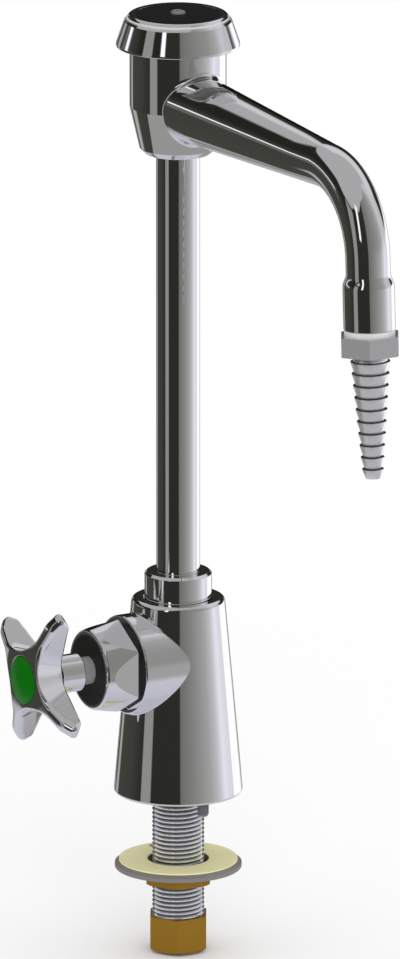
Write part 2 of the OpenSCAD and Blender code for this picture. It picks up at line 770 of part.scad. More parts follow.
module hose_nozzle() {
    barb_step = (barb_r - barb_end_r) / (barbs - 1);
    barb_lengths = [for (i = [1:barbs]) i < barbs ? barb_pitch : barb_last_l];
    color(satin) at_outlet() difference() {
        union() {
            rod(nozzle_thread_r - fit, outlet_len - nozzle_thread_l, hex_start + 0.1);
            nut_blank(nozzle_af, hex_start, hex_start + hex_h, 0, 0.6, 0.6);
            rotate_extrude() polygon(concat([[0, hex_start + hex_h - 1], [neck_barb_r, hex_start + hex_h - 1],
                [neck_barb_r, barb_start]],
                [for (i = [0:barbs - 1], p = [[0, 0], [0, 0.3], [-barb_drop, barb_lengths[i]]])
                    [barb_r - barb_step * i + p[0], barb_start + barb_pitch * i + p[1]]], [[0, barb_tip]]));
        }
        rod(nozzle_bore_r, outlet_len, barb_tip + 1);
        translate([0, 0, outlet_len - nozzle_thread_l - 0.1])
            cylinder(r1 = nozzle_thread_r - 1.5, r2 = nozzle_bore_r, h = nozzle_thread_l + hex_h);
    }
}

module float_body() {
    low = float_seat_z + float_disc_t;
    high = low + float_h;
    color(plastic) {
        rod(6.6, low, high);
        rod(2, float_seat_z - 0.1, low + 0.1);
        rod(3.2, float_seat_z - 1.2, float_seat_z);
        rod(3, high - 0.1, high + float_disc_t);
        rod(float_stem_r, high, high + float_lift + 7);
    }
}

module float_seat_disc() {
    color(rubber) tube(9.6, 2, float_seat_z, float_seat_z + float_disc_t);
}

module float_air_disc() {
    low = float_seat_z + float_disc_t + float_h;
    color(rubber) tube(9, 3, low, low + float_disc_t);
}

turret_body();
base_gasket();
inlet_shank();
locating_stud();
coupling_nut();
friction_ring();
cone_washer();
valve_seat();
cartridge_housing();
cartridge_seal();
bonnet_gasket();
bonnet();
wiper_ring();
collar();
swivel_bush();
deck_washer();
fibre_washer();
lock_nut();
plunger();
plunger_seal();
seat_washer();
seat_screw();
stem();
stem_seals();
handle();
handle_screw();
index_button();
riser_pipe();
riser_seal();
breaker_body();
breaker_seat();
breaker_gasket();
breaker_bonnet();
breaker_cap();
cap_disc();
cap_screw();
outlet_gasket();
hose_nozzle();
float_body();
float_seat_disc();
float_air_disc();
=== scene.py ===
import json
from math import atan, atan2, cos, hypot, pi, radians, sin, tan

import bpy
import numpy as np
from mathutils import Matrix, Vector, geometry


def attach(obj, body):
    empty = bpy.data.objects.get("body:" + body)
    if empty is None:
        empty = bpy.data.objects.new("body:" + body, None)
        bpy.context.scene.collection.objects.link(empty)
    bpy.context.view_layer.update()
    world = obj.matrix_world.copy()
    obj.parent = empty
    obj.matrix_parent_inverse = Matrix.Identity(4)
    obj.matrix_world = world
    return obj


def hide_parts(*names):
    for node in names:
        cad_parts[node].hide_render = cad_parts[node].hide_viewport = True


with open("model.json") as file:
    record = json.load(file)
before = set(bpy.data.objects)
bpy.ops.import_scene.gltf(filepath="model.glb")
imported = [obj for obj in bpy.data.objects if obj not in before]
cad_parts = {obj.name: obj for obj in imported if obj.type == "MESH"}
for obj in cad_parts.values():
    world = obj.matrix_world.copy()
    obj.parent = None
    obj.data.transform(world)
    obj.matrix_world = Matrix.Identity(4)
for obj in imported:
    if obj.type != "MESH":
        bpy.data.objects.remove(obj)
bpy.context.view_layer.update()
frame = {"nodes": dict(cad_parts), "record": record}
mm = 0.001
fullTurn = 2 * pi


# Shared measures of the tap, in millimetres from the deck and the turret's axis

tap = {"turretTop": 80.3, "valveZ": 55.3, "armZ": 283.5, "breakerZ": 262.7, "capTop": 319.25}
spout = {"armLength": 118.0, "bendRadius": 32.5, "bendAngle": 87.0, "tubeRadius": 8.8}

bend = radians(spout["bendAngle"])
outletStart = Vector((0, -spout["armLength"] - spout["bendRadius"] * sin(bend),
                      tap["armZ"] - spout["bendRadius"] * (1 - cos(bend))))

# Places: local +Z runs up the riser, out along the valve to the handle, and out of the nozzle
upright = Matrix.Identity(4)
alongValve = Matrix.Translation((0, 0, tap["valveZ"])) @ Matrix.Rotation(-pi / 2, 4, "Y")
alongOutlet = Matrix.Translation(outletStart) @ Matrix.Rotation(pi / 2 + bend, 4, "X")


# Shader and geometry nodes

class Wire:
    # One socket, with Python's own arithmetic for values
    def __init__(self, graph, socket):
        self.graph, self.socket = graph, socket

    def __add__(self, other):
        return self.graph.maths("ADD", self, other)

    def __sub__(self, other):
        return self.graph.maths("SUBTRACT", self, other)

    def __rsub__(self, other):
        return self.graph.maths("SUBTRACT", other, self)

    def __mul__(self, other):
        return self.graph.maths("MULTIPLY", self, other)

    def __truediv__(self, other):
        return self.graph.maths("DIVIDE", self, other)

    def __mod__(self, other):
        return self.graph.maths("MODULO", self, other)

    __radd__ = __add__


class Graph:
    def __init__(self, tree):
        self.tree = tree

    def node(self, kind, sockets=None, output=0, **settings):
        made = self.tree.nodes.new(kind)
        for name, value in settings.items():
            if name == "stops":
                ramp = made.color_ramp
                while len(ramp.elements) > 1:
                    ramp.elements.remove(ramp.elements[-1])
                for i, (place, colour) in enumerate(value):
                    stop = ramp.elements[0] if i == 0 else ramp.elements.new(place)
                    stop.position, stop.color = place, (*colour, 1)
            else:
                setattr(made, name, value)
        for name, value in (sockets or {}).items():
            if isinstance(value, Wire):
                self.tree.links.new(value.socket, made.inputs[name])
            else:
                made.inputs[name].default_value = value
        return Wire(self, made.outputs[output]) if len(made.outputs) else made

    def split(self, vector):
        made = self.node("ShaderNodeSeparateXYZ", {"Vector": vector}).socket.node
        return [Wire(self, made.outputs[axis]) for axis in "XYZ"]

    def blend(self, share, first, second):
        return self.node("ShaderNodeMix", {0: share, 6: first, 7: second}, 2, data_type="RGBA")

    def maths(self, operation, *values):
        return self.node("ShaderNodeMath", dict(enumerate(values)), operation=operation)

    def ramp(self, value, low, high, shape="LINEAR"):
        # 0 at low and 1 at high, flat past both
        return self.node("ShaderNodeMapRange", {"Value": value, "From Min": low, "From Max": high},
                         interpolation_type=shape)

    def size(self, vector):
        return self.node("ShaderNodeVectorMath", {0: vector}, "Value", operation="LENGTH")

    def fromAxis(self, place):
        # Distance from the tap's upright axis
        return self.size(self.node("ShaderNodeVectorMath", {0: place, 1: (1, 1, 0)}, operation="MULTIPLY"))

    def principled(self, colour, rough, others):
        return self.node("ShaderNodeBsdfPrincipled", {"Base Color": colour, "Roughness": rough, **others})

    def bump(self, strength, height):
        return self.node("ShaderNodeBump", {
            "Strength": strength, "Distance": texture["bumpDepth"], "Height": height})


def finish(name, surface, *look):
    # A named material whose shader is made by the given function, from its look
    made = bpy.data.materials.new(name)
    made.use_nodes = True
    made.node_tree.nodes.clear()
    graph = Graph(made.node_tree)
    place = graph.node("ShaderNodeTexCoord", output="Object")
    graph.node("ShaderNodeOutputMaterial", {"Surface": surface(graph, place, *look)})
    return made


def grain(graph, place, size, detail=3.0, stretch=(1, 1, 1)):
    # Noise from 0 to 1, whose blotches are about size metres across
    scaled = graph.node("ShaderNodeMapping", {"Vector": place, "Scale": stretch})
    return graph.node("ShaderNodeTexNoise", {"Vector": scaled, "Scale": 1 / size, "Detail": detail})


def dimmed(colour, share=1.0):
    return (*[c * share for c in colour], 1)


# Sizes of the blotches and marks in the finishes, in metres
texture = {"haze": 0.018, "tint": 0.06, "toolTint": 0.01, "skin": 0.0006, "blotch": 0.008, "satin": 0.0004,
           "bumpDepth": 0.0001}

# How strongly they show in the colour, the roughness and the bump
show = {"tint": 0.97, "toolTint": 0.93, "toolRough": 0.12, "toolBump": 0.15, "blotch": 0.4, "blotchTint": 0.8,
        "skinRough": 0.08, "skinBump": 0.12, "satinRough": 0.08}

mirror = {"colour": (0.90, 0.90, 0.91), "rough": 0.03, "hazeRough": 0.03}


def plated(graph, place, cover):
    # Mirror chrome, blended into what covers it: a share, a colour, how metallic and how much rougher
    share, colour, metallic, rougher = cover(graph, place)
    haze = grain(graph, place, texture["haze"])
    return graph.principled(graph.blend(share, dimmed(mirror["colour"]), colour),
                            mirror["rough"] + haze * mirror["hazeRough"] + share * rougher,
                            {"Metallic": 1 - share * (1 - metallic)})


def faintTint(graph, place):
    return grain(graph, place, texture["tint"]), dimmed(mirror["colour"], show["tint"]), 1, 0


def castInside(graph, place):
    # The plain cast metal inside the hood's rim
    inside = {"lean": 0.26, "start": 0.0203, "full": 0.0199, "below": 0.001}
    colour, metallic, rougher = (0.75, 0.75, 0.74, 1), 0.3, 0.5
    drop = tap["capTop"] * mm - graph.split(place)[2]
    wall = graph.ramp(graph.fromAxis(place) - drop * inside["lean"], inside["start"], inside["full"])
    return wall * graph.maths("GREATER_THAN", drop, inside["below"]), colour, metallic, rougher


def paintedDarkFace(graph, place):
    # The bonnet's face round the stem, made duller and painted dark: a painted dark reflection of the room
    start, full, colour, metallic, rougher = 0.0002, 0.0006, (0.05, 0.05, 0.045, 1), 1, 0.4
    x, y, z = graph.split(place)
    reach = graph.size(graph.node("ShaderNodeCombineXYZ", {"X": y, "Y": z - tap["valveZ"] * mm}))
    rim = (bonnet["frontRadius"] - bonnet["rounding"]) * mm
    front = graph.maths("LESS_THAN", x, (bonnet["rim"] - bonnet["front"]) * mm)
    # Painted reflection: dark colour inside the rim, on the front face only
    return graph.ramp(reach, rim - start, rim - full) * front, colour, metallic, rougher


def turned(graph, place, colour, rough, pitch, metallic=1.0):
    # Metal with fine tool marks that run round the piece
    marks = grain(graph, place, pitch, 2.0, (0.02, 0.02, 1))
    tint = graph.blend(grain(graph, place, texture["toolTint"]), dimmed(colour),
                       dimmed(colour, show["toolTint"]))
    return graph.principled(tint, rough + marks * show["toolRough"],
                            {"Metallic": metallic, "Normal": graph.bump(show["toolBump"], marks)})


def satinNozzle(graph, place, colour, rough):
    # Satin plating with painted shade in the sharp corner above each barb, and greyer on the hexagon
    cornerShadeColour, cornerStart, cornerFull = (0.05, 0.05, 0.05, 1), 0.44, 0.49
    metallic, hexagonShade, hexagonEnd = 0.8, 0.7, -0.0008
    axis = alongOutlet.to_3x3() @ Vector((0, 0, 1))
    down = graph.node("ShaderNodeVectorMath", {0: place, 1: axis}, "Value", operation="DOT_PRODUCT")
    fromBarb = down - (outletStart.dot(axis) + nozzle["barbStart"]) * mm
    share = (fromBarb / (nozzle["pitch"] * mm) + 10) % 1
    # Painted shade: the dark band in the sharp corner above each barb
    corner = graph.ramp(graph.maths("PINGPONG", share + 0.5, 0.5), cornerStart, cornerFull)
    corner = corner * graph.maths("GREATER_THAN", fromBarb, hexagonEnd)
    marks = grain(graph, place, texture["satin"], 2.0)
    tint = graph.blend(corner, dimmed(colour), cornerShadeColour)
    tint = graph.blend(graph.maths("LESS_THAN", fromBarb, hexagonEnd), tint, dimmed(colour, hexagonShade))
    return graph.principled(tint, rough + marks * show["satinRough"], {"Metallic": metallic})


def threadedChrome(graph, place, colour, rough):
    # Bright flanks, with painted shade down in the root of the thread, which is also rougher
    size, rootShare, crestShare = threads["shankThread"], 0.95, 0.65
    rootShadeColour, rootRough, metallic = (0.16, 0.16, 0.16, 1), 0.4, 0.75
    crest = graph.ramp(graph.fromAxis(place), (size["radius"] - size["depth"] * rootShare) * mm,
                       (size["radius"] - size["depth"] * crestShare) * mm)
    # Painted shade: the root of the thread is coloured dark
    tint = graph.blend(crest, rootShadeColour, dimmed(colour))
    return graph.principled(tint, rough + (1 - crest) * rootRough, {"Metallic": metallic})


def moulded(graph, place, colour, rough, speck=0.0, shine=0.5):
    # Plastic, rubber or fibre with a fine skin texture and a little colour variation
    skin = grain(graph, place, texture["skin"], 4.0)
    blotch = grain(graph, place, texture["blotch"])
    tint = graph.blend(blotch * (show["blotch"] + speck), dimmed(colour), dimmed(colour, show["blotchTint"]))
    return graph.principled(tint, rough + skin * show["skinRough"],
                            {"Specular IOR Level": shine, "Normal": graph.bump(show["skinBump"], skin)})


# Sizes that the finishes read as well

nozzle = {"flats": 22.3, "hexStart": 29.8, "hexHeight": 7.9, "hexCorner": 12.5, "neckRadius": 6.85,
          "neckSink": 6, "barbStart": 40.35, "barbs": 10, "pitch": 4.775, "lastLength": 3.9,
          "firstRadius": 7.8, "lastRadius": 4.25, "drop": 1.4, "ringBore": 8.1, "ringRadius": 10.0}
bonnet = {"rear": 27.5, "front": 40.9, "rearRadius": 18.9, "frontRadius": 16.0, "flats": 33.2,
          "rounding": 1.2, "rim": 3, "hole": 5.8, "holeDepth": 2.5, "ringBore": 14.05, "ringRadius": 16.2}
studOffset = -20.1
threads = {
    "shankThread": {"radius": 10.42, "depth": 1.15, "pitch": 1.8143, "low": -60.3, "high": 16.0, "bore": 6.7},
    "studThread": {"radius": 2.35, "depth": 0.35, "pitch": 0.8, "low": -5.9, "high": 10.5, "bore": 0.0},
}

finishes = {
    "chrome": finish("mirrorChrome", plated, faintTint),
    "hood_chrome": finish("hoodChrome", plated, castInside),
    "bonnet_chrome": finish("bonnetChrome", plated, paintedDarkFace),
    "satin_stem": finish("satinStem", turned, (0.52, 0.52, 0.54), 0.35, 0.0006, 0.5),
    "satin_chrome": finish("satinChrome", satinNozzle, (0.90, 0.90, 0.93), 0.22),
    "thread_chrome": finish("threadChrome", threadedChrome, (0.90, 0.90, 0.92), 0.06),
    "brass": finish("turnedBrass", turned, (0.40, 0.215, 0.015), 0.42, 0.0005, 0.6),
    "steel": finish("greySteel", turned, (0.28, 0.265, 0.245), 0.45, 0.0006, 0.4),
    "fibre": finish("creamFibre", moulded, (0.93, 0.88, 0.50), 0.6, 0.1),
    "rubber": finish("blackRubber", moulded, (0.015, 0.015, 0.014), 0.55),
    # A plain black disc set in the cap's top
    "black_disc": finish("blackCapDisc", moulded, (0.004, 0.004, 0.004), 0.5, 0.0, 0.12),
    "green_button": finish("glossGreen", moulded, (0.0, 0.14, 0.0), 0.25, 0.0, 0.15),
    "acetal": finish("whiteAcetal", moulded, (0.72, 0.72, 0.72), 0.45),
    "dark_stud": finish("darkStud", turned, (0.25, 0.255, 0.27), 0.4, 0.0003, 0.5),
}
print("finishes:", len(finishes))


def added(name, data):
    # A new object of the scene
    made = bpy.data.objects.new(name, data)
    bpy.context.scene.collection.objects.link(made)
    return made


# Meshes with an exact normal at every corner

class Skin:
    def __init__(self):
        self.points, self.index, self.faces, self.normals = [], {}, [], []

    def face(self, corners, normals):
        ids = []
        for corner in corners:
            key = tuple(round(x, 4) for x in corner)
            if key not in self.index:
                self.index[key] = len(self.points)
                self.points.append(Vector(corner))
            ids.append(self.index[key])
        keep = [i for i in range(len(ids)) if ids[i] != ids[i - 1]]
        if len(set(ids)) < 3:
            return
        ids, normals = [ids[i] for i in keep], [Vector(normals[i]) for i in keep]
        a, b, c = (self.points[ids[i]] for i in (0, 1, 2))
        across = (b - a).cross(c - a)
        if len(ids) == 4:
            across = across + (c - a).cross(self.points[ids[3]] - a)
        if across.dot(sum(normals, Vector())) < 0:
            ids, normals = ids[::-1], normals[::-1]
        self.faces.append(ids)
        self.normals += normals

    def lathe(self, spansAt, angles, place=upright):
        turn = place.to_3x3()
        for first, second in zip(angles, angles[1:]):
            middle = (first + second) / 2
            left, right = spansAt(first, middle), spansAt(second, middle)
            sides = [(cos(a), sin(a)) for a in (first, second)]
            for (a, na, b, nb), (c, nc, d, nd) in zip(left, right):
                corners, normals = [], []
                for (r, z), n, (co, si) in ((a, na, sides[0]), (c, nc, sides[1]),
                                            (d, nd, sides[1]), (b, nb, sides[0])):
                    corners.append(place @ Vector((r * co, r * si, z)))
                    normal = Vector(n) if len(n) == 3 else Vector((n[0] * co, n[0] * si, n[1]))
                    normals.append(turn @ normal)
                self.face(corners, normals)

    def made(self, name, body, slot, nodes=(), material=None):
        mesh = bpy.data.meshes.new(name)
        mesh.from_pydata([p * mm for p in self.points], [], self.faces)
        mesh.shade_smooth()
        mesh.normals_split_custom_set([n.normalized() for n in self.normals])
        settle(added(name, mesh), body, slot, nodes, material)


def settle(piece, body, slot, nodes=(), material=None):
    # Gives a finished piece its material, picked by its slot unless one is named, puts it under its body, and
    # hides the solids that it stands for
    piece.data.materials.clear()
    piece.data.materials.append(finishes[material or slot])
    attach(piece, body)
    if nodes:
        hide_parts(*nodes)


def spansOf(corners, steps=6):
    # Straight runs and rounded corners of an outline, from (r, z) or (r, z, rounding) corners
    points = [Vector(c[:2]) for c in corners]
    spans, last = [], points[0]
    for i in range(1, len(points)):
        before = (points[i] - points[i - 1]).normalized()
        n1 = (before.y, -before.x)
        rounding = corners[i][2] if len(corners[i]) > 2 and i < len(points) - 1 else 0
        if not rounding:
            spans.append((tuple(last), n1, tuple(points[i]), n1))
            last = points[i]
            continue
        after = (points[i + 1] - points[i]).normalized()
        turn = atan2(before.x * after.y - before.y * after.x, before.dot(after))
        reach = rounding * tan(abs(turn) / 2)
        start = points[i] - before * reach
        spans.append((tuple(last), n1, tuple(start), n1))
        side = 1 if turn > 0 else -1
        centre = start - Vector(n1) * rounding * side
        arc, base = [], atan2(n1[1], n1[0])
        for k in range(steps + 1):
            a = base + turn * k / steps
            n = (cos(a), sin(a))
            arc.append((tuple(centre + Vector(n) * rounding * side), n))
        spans += [(p, n, q, m) for (p, n), (q, m) in zip(arc, arc[1:])]
        last = Vector(arc[-1][0])
    return spans


# How many columns go round each kind of piece
around = {"plain": 128, "small": 96, "hexagon": 144, "bonnet": 180, "pin": 24}


def ringAngles(count):
    return [fullTurn * i / count for i in range(count + 1)]


def ringOutline(bore, radius, low, high, rounding=0):
    return [(bore, low), (radius, low), (radius, high, rounding), (bore, high), (bore, low)]


def turnedPiece(name, body, slot, nodes, corners, place=upright, material=None):
    # Pieces that stand upright are the wide ones and get more columns
    skin, spans = Skin(), spansOf(corners)
    skin.lathe(lambda *_: spans, ringAngles(around["plain" if place is upright else "small"]), place)
    skin.made(name, body, slot, nodes, material)


def hexSide(flats, angle, middle):
    # Radius at an angle of the hexagon with a corner at 0, and the normal of the side that middle is on
    sixth = fullTurn / 6
    flat = (middle // sixth + 0.5) * sixth
    return flats / 2 / cos(angle - flat), (cos(flat), sin(flat), 0)


def hexPiece(name, body, slot, nodes, nut, place=upright):
    # A hexagonal nut, whose corners are turned off by a cone at each end
    slope, bore, z0, z1 = 0.577, nut["bore"], nut["z0"], nut["z1"]
    down = Vector((slope, -1)).normalized()
    down, up = (down.x, down.y), (down.x, -down.y)

    def spansAt(angle, middle):
        radius, side = hexSide(nut["flats"], angle, middle)
        low, high = min(radius, nut["lowRadius"]), min(radius, nut["highRadius"])
        zLow, zHigh = z0 + (radius - low) * slope, z1 - (radius - high) * slope
        return [((bore, z0), (0, -1), (low, z0), (0, -1)), ((low, z0), down, (radius, zLow), down),
                ((radius, zLow), side, (radius, zHigh), side), ((radius, zHigh), up, (high, z1), up),
                ((high, z1), (0, 1), (bore, z1), (0, 1)), ((bore, z1), (-1, 0), (bore, z0), (-1, 0))]

    skin = Skin()
    skin.lathe(spansAt, ringAngles(around["hexagon"]), place)
    skin.made(name, body, slot, nodes)


def ringEdges(start, count):
    return [(start + i, start + (i + 1) % count) for i in range(count)]


def triangulated(flat, edges):
    # The spots, and each triangle with its middle
    spots, _, triangles, *_ = geometry.delaunay_2d_cdt(flat, edges, [], 0, 1e-5)
    return spots, [(t, sum((spots[i] for i in t), Vector((0, 0))) / 3) for t in triangles]


# A turned body with a branch that grows out of its side through a rounded joint

def branchedPiece(name, body, slot, nodes, spec):
    spans = spansOf(spec["outline"], 5)
    first, last = spec["holed"]  # the spans that the branch passes through
    side, height = spec["heading"], spec["height"]
    along, ball, arcSteps, halvings = spec["branchRadius"], spec["fillet"], 6, 40

    def toWorld(x, y, z):
        return Vector((x * cos(side) - y * sin(side), x * sin(side) + y * cos(side), z))

    def addFace(corners):
        skin.face([toWorld(*p) for p, n in corners], [toWorld(*n) for p, n in corners])

    # Distance along the holed part of the outline at the start of each span
    lengths = [0.0]
    for a, _, b, _ in spans[first:last]:
        lengths.append(lengths[-1] + (Vector(b) - Vector(a)).length)

    def outlineAt(t):
        k = max(i for i in range(last - first) if lengths[i] <= t + 1e-9)
        a, na, b, nb = spans[first + k]
        share = (t - lengths[k]) / max(lengths[k + 1] - lengths[k], 1e-9)
        n = Vector(na).lerp(Vector(nb), share).normalized()
        return Vector(a).lerp(Vector(b), share), n

    def nearest(centre):
        # Distance from the outline, less than 0 inside it, with the foot and its distance along
        spot, found = Vector((hypot(centre.x, centre.y), centre.z)), []
        for (a, _, b, _), before in zip(spans[first:last], lengths):
            a, b = Vector(a), Vector(b)
            share = max(0, min(1, (spot - a).dot(b - a) / (b - a).length_squared))
            foot = a.lerp(b, share)
            found.append(((spot - foot).length, foot, before + share * (b - a).length))
        gap, foot, t = min(found, key=lambda one: one[0])
        return (-gap if (spot - foot).dot(outlineAt(t)[1]) < 0 else gap), foot, t

    loops, lean = [], Vector((1, spec["branchSlope"])).normalized()  # it narrows as it goes out

    def onBranch(t, out):
        return Vector((t, along(t) * out[0], height + along(t) * out[1]))

    def lineAlong(t, out):
        # Spots of a line along the branch, from its joint over its rings, with the normals before and after
        root = Vector((lean.y, lean.x * out[0], lean.x * out[1]))
        line = [(onBranch(t, out), root, root)]
        for centre, forward, r, *tilts in spec["rings"]:
            radial = Vector((0, 1, 0)) * out[0] + Vector((-forward.z, 0, forward.x)) * out[1]
            bent = [radial * cos(tilt) + forward * sin(tilt) for tilt in tilts]
            line.append((centre + radial * r, bent[0], bent[-1]))
        return line

    for phi in ringAngles(spec["joints"])[:-1]:
        out = (sin(phi), cos(phi))

        def centreAt(t):
            r = along(t) + ball * lean.x
            return Vector((t + ball * lean.y, r * out[0], height + r * out[1]))

        near, far = 0.0, spec["reach"]
        for _ in range(halvings):
            t = (near + far) / 2
            if nearest(centreAt(t))[0] < ball:
                near = t
            else:
                far = t
        c = centreAt(t)
        _, foot, outlineT = nearest(c)
        azimuth = atan2(c.y, c.x)
        bodyFoot = Vector((foot.x * cos(azimuth), foot.x * sin(azimuth), foot.y))
        branchFoot = onBranch(t, out)
        one, two = (bodyFoot - c).normalized(), (branchFoot - c).normalized()
        strip = []
        for k in range(arcSteps + 1):
            way = one.slerp(two, k / arcSteps) if one.angle(two) > 1e-4 else one
            strip.append((c + way * ball, -way))
        strip[0], strip[-1] = (bodyFoot, -one), (branchFoot, -two)
        loops.append({"azimuth": azimuth, "t": outlineT, "strip": strip, "line": lineAlong(t, out)})

    skin = Skin()
    columns = ringAngles(spec["columns"])
    skin.lathe(lambda *_: spans[:first] + spans[last:], [a + side for a in columns])

    # The side of the body round the hole, laid flat, divided, and wrapped back
    scale = spec["flatRadius"]
    across = [a - pi for a in columns]
    rows = []
    for k in range(last - first):
        count = max(1, int((lengths[k + 1] - lengths[k]) / spec["rowStep"]))
        rows += [lengths[k] + (lengths[k + 1] - lengths[k]) * i / count for i in range(count)]
    rows.append(lengths[-1])
    hole = [(loop["azimuth"] * scale, loop["t"]) for loop in loops]
    x1, y1 = np.array(hole).T
    x2, y2 = np.roll(x1, -1), np.roll(y1, -1)

    def inHole(x, y):
        crossing = ((y1 > y) != (y2 > y)) & (x < (x2 - x1) * (y - y1) / (y2 - y1 + 1e-12) + x1)
        return crossing.sum() % 2 == 1

    flat, edges, grid = list(hole), ringEdges(0, len(hole)), {}
    for i, a in enumerate(across):
        for j, t in enumerate(rows):
            close = np.hypot(x1 - a * scale, y1 - t).min() < spec["margin"]
            if not close and not inHole(a * scale, t):
                grid[i, j] = len(flat)
                flat.append((a * scale, t))
    for (i, j), here in grid.items():
        for there in ((i + 1, j), (i, j + 1)):
            edge = i in (0, len(across) - 1) or j in (0, len(rows) - 1)
            if there in grid and (edge or there[1] == j):
                edges.append((here, grid[there]))
    spots, triangles = triangulated([Vector(p) for p in flat], edges)
    wrapped = []
    for spot in spots:
        (r, z), n = outlineAt(spot[1])
        angle = spot[0] / scale
        wrapped.append(((r * cos(angle), r * sin(angle), z), (n.x * cos(angle), n.x * sin(angle), n.y)))
    for triangle, middle in triangles:
        if not inHole(*middle):
            addFace([wrapped[i] for i in triangle])

    # The rounded joint, and the branch from there out
    for one, two in zip(loops, loops[1:] + loops[:1]):
        for k in range(arcSteps):
            addFace([one["strip"][k], two["strip"][k], two["strip"][k + 1], one["strip"][k + 1]])
        for a, b, c, d in zip(one["line"], two["line"], two["line"][1:], one["line"][1:]):
            addFace([(a[0], a[2]), (b[0], b[2]), c[:2], d[:2]])
    skin.made(name, body, slot, nodes)


# Turret

turret = {"baseRadius": 25.8, "topRadius": 18.6, "lip": 2.0, "bossRadius": 20.0, "bossReach": 25.6,
          "bossRim": 0.8, "fillet": 0.8, "collarGap": 14.05, "collarSeat": 77.8, "shankHole": 10.47,
          "shankTop": 18, "gasketBore": 11.4, "gasketRadius": 24.0, "gasketDepth": 1.5, "coreRadius": 15,
          "wall": 3.5, "wallTaper": 2.15, "skirtTop": 24.0}

# Radius and depth of each step of the valve chamber
chamberSteps = [(14.0, 13.0), (9.5, -7.0), (7.5, -9.5), (3.8, -16.5)]


def ringsAlong(start, forward, rows):
    # Rings on a straight line, from rows of distance, radius, and the tilt of the skin before and after
    return [(start + forward * distance, forward, *row) for distance, *row in rows]


def roundedRim(reach, radius, rounding, steps):
    # Rows of the rounded edge of a tube that ends at reach
    turns = [pi / 2 * k / steps for k in range(steps + 1)]
    return [(reach - rounding + rounding * sin(a), radius - rounding + rounding * cos(a), a) for a in turns]


def bossRings():
    # Rings of the valve boss: its side, its rounded rim and the steps of the valve chamber
    depth = turret["bossReach"]
    rows = roundedRim(depth, turret["bossRadius"], turret["bossRim"], 6)
    for radius, nextDepth in chamberSteps:
        rows += [(depth, radius, pi / 2, pi), (nextDepth, radius, pi, pi / 2)]
        depth = nextDepth
    rows.append((depth, 0.0, pi / 2))
    return ringsAlong(Vector((0, 0, tap["valveZ"])), Vector((1, 0, 0)), rows)


def makeTurret():
    t, top = turret, tap["turretTop"]
    inner, core, seat = t["baseRadius"] - t["wall"], t["coreRadius"], t["gasketDepth"]
    outline = [(0, t["shankTop"]), (t["shankHole"], t["shankTop"]), (t["shankHole"], 0), (t["gasketBore"], 0),
               (t["gasketBore"], seat), (core, seat), (core, t["skirtTop"]),
               (inner - t["wallTaper"], t["skirtTop"]), (inner, seat), (t["gasketRadius"], seat),
               (t["gasketRadius"], 0), (t["baseRadius"] + 0.05, 0, 1.0), (t["topRadius"], top, t["lip"]),
               (t["collarGap"], top, 0.3), (t["collarGap"], t["collarSeat"]), (0, t["collarSeat"])]
    spans = spansOf(outline, 5)
    holed = next(i for i, s in enumerate(spans) if s[0][0] > t["gasketRadius"] and s[2][1] > tap["valveZ"])
    branchedPiece("turretBody", "turret", "chrome", ["turret_body"], {
        "outline": outline, "holed": (holed, holed + 1), "heading": pi, "height": tap["valveZ"],
        "branchRadius": lambda d: t["bossRadius"], "branchSlope": 0.0, "fillet": t["fillet"], "reach": 25.0,
        "joints": 144, "columns": 144, "flatRadius": 21.0, "rowStep": 5.0, "margin": 0.5,
        "rings": bossRings()})


makeTurret()
print("turret made")


# Vacuum breaker's body, with the arm, the bend and the swelled outlet

breaker = {"radius": 19.2, "footRadius": 15.3, "footRise": 2.3, "mouthRadius": 12.9, "riserHole": 8.75,
           "holeDepth": 10, "coneTop": 19.3, "top": 310.05, "threadRadius": 15.45, "ledge": 296.05,
           "chamberRadius": 14.2, "chamberFloor": 276.0, "fillet": 2.6, "rootRadius": 14.6, "taperEnd": 104,
           "swageStart": 5.7, "swageLength": 5.0, "outletRadius": 10.2, "outletLength": 27.7,
           "outletRim": 0.4, "outletBore": 8.0, "boreDepth": 9}

# Where rings stand along the tapered arm, and how many go round the bend and along the swelling
armRings, bendRings, swageRings = [34, 50, 70, 90, 104, 112, spout["armLength"]], 36, 12

# How much the arm narrows for each millimetre of its length
narrowing = (breaker["rootRadius"] - spout["tubeRadius"]) / spout["armLength"]


def spoutRings():
    # Rings from the arm's root to the outlet's mouth, with forward as the tube's own direction
    b, tube, armEnd, arm = breaker, spout["tubeRadius"], spout["armLength"], []
    for d in armRings:
        fade = 1 if d < b["taperEnd"] else (armEnd - d) / (armEnd - b["taperEnd"])
        arm.append((d, b["rootRadius"] - narrowing * d, atan(narrowing) * fade))
    rings = ringsAlong(Vector((0, 0, tap["armZ"])), Vector((1, 0, 0)), arm)
    middle = Vector((armEnd, 0, tap["armZ"] - spout["bendRadius"]))
    for k in range(1, bendRings + 1):
        a = bend * k / bendRings
        forward = Vector((cos(a), 0, -sin(a)))
        end = middle + Vector((sin(a), 0, cos(a))) * spout["bendRadius"]
        rings.append((end, forward, tube, 0.0))
    swell, rows = b["outletRadius"] - tube, [(b["swageStart"], tube, 0.0)]
    for k in range(1, swageRings + 1):
        x = k / swageRings
        radius, slope = tube + swell * x * x * (3 - 2 * x), swell * 6 * x * (1 - x) / b["swageLength"]
        rows.append((b["swageStart"] + b["swageLength"] * x, radius, -atan(slope)))
    mouth, bore, bottom = b["outletLength"], b["outletBore"], b["outletLength"] - b["boreDepth"]
    rows += roundedRim(mouth, b["outletRadius"], b["outletRim"], 4)
    rows += [(mouth, bore, pi / 2, pi), (bottom, bore, pi, pi / 2), (bottom, 0.0, pi / 2)]
    return rings + ringsAlong(end, forward, rows)


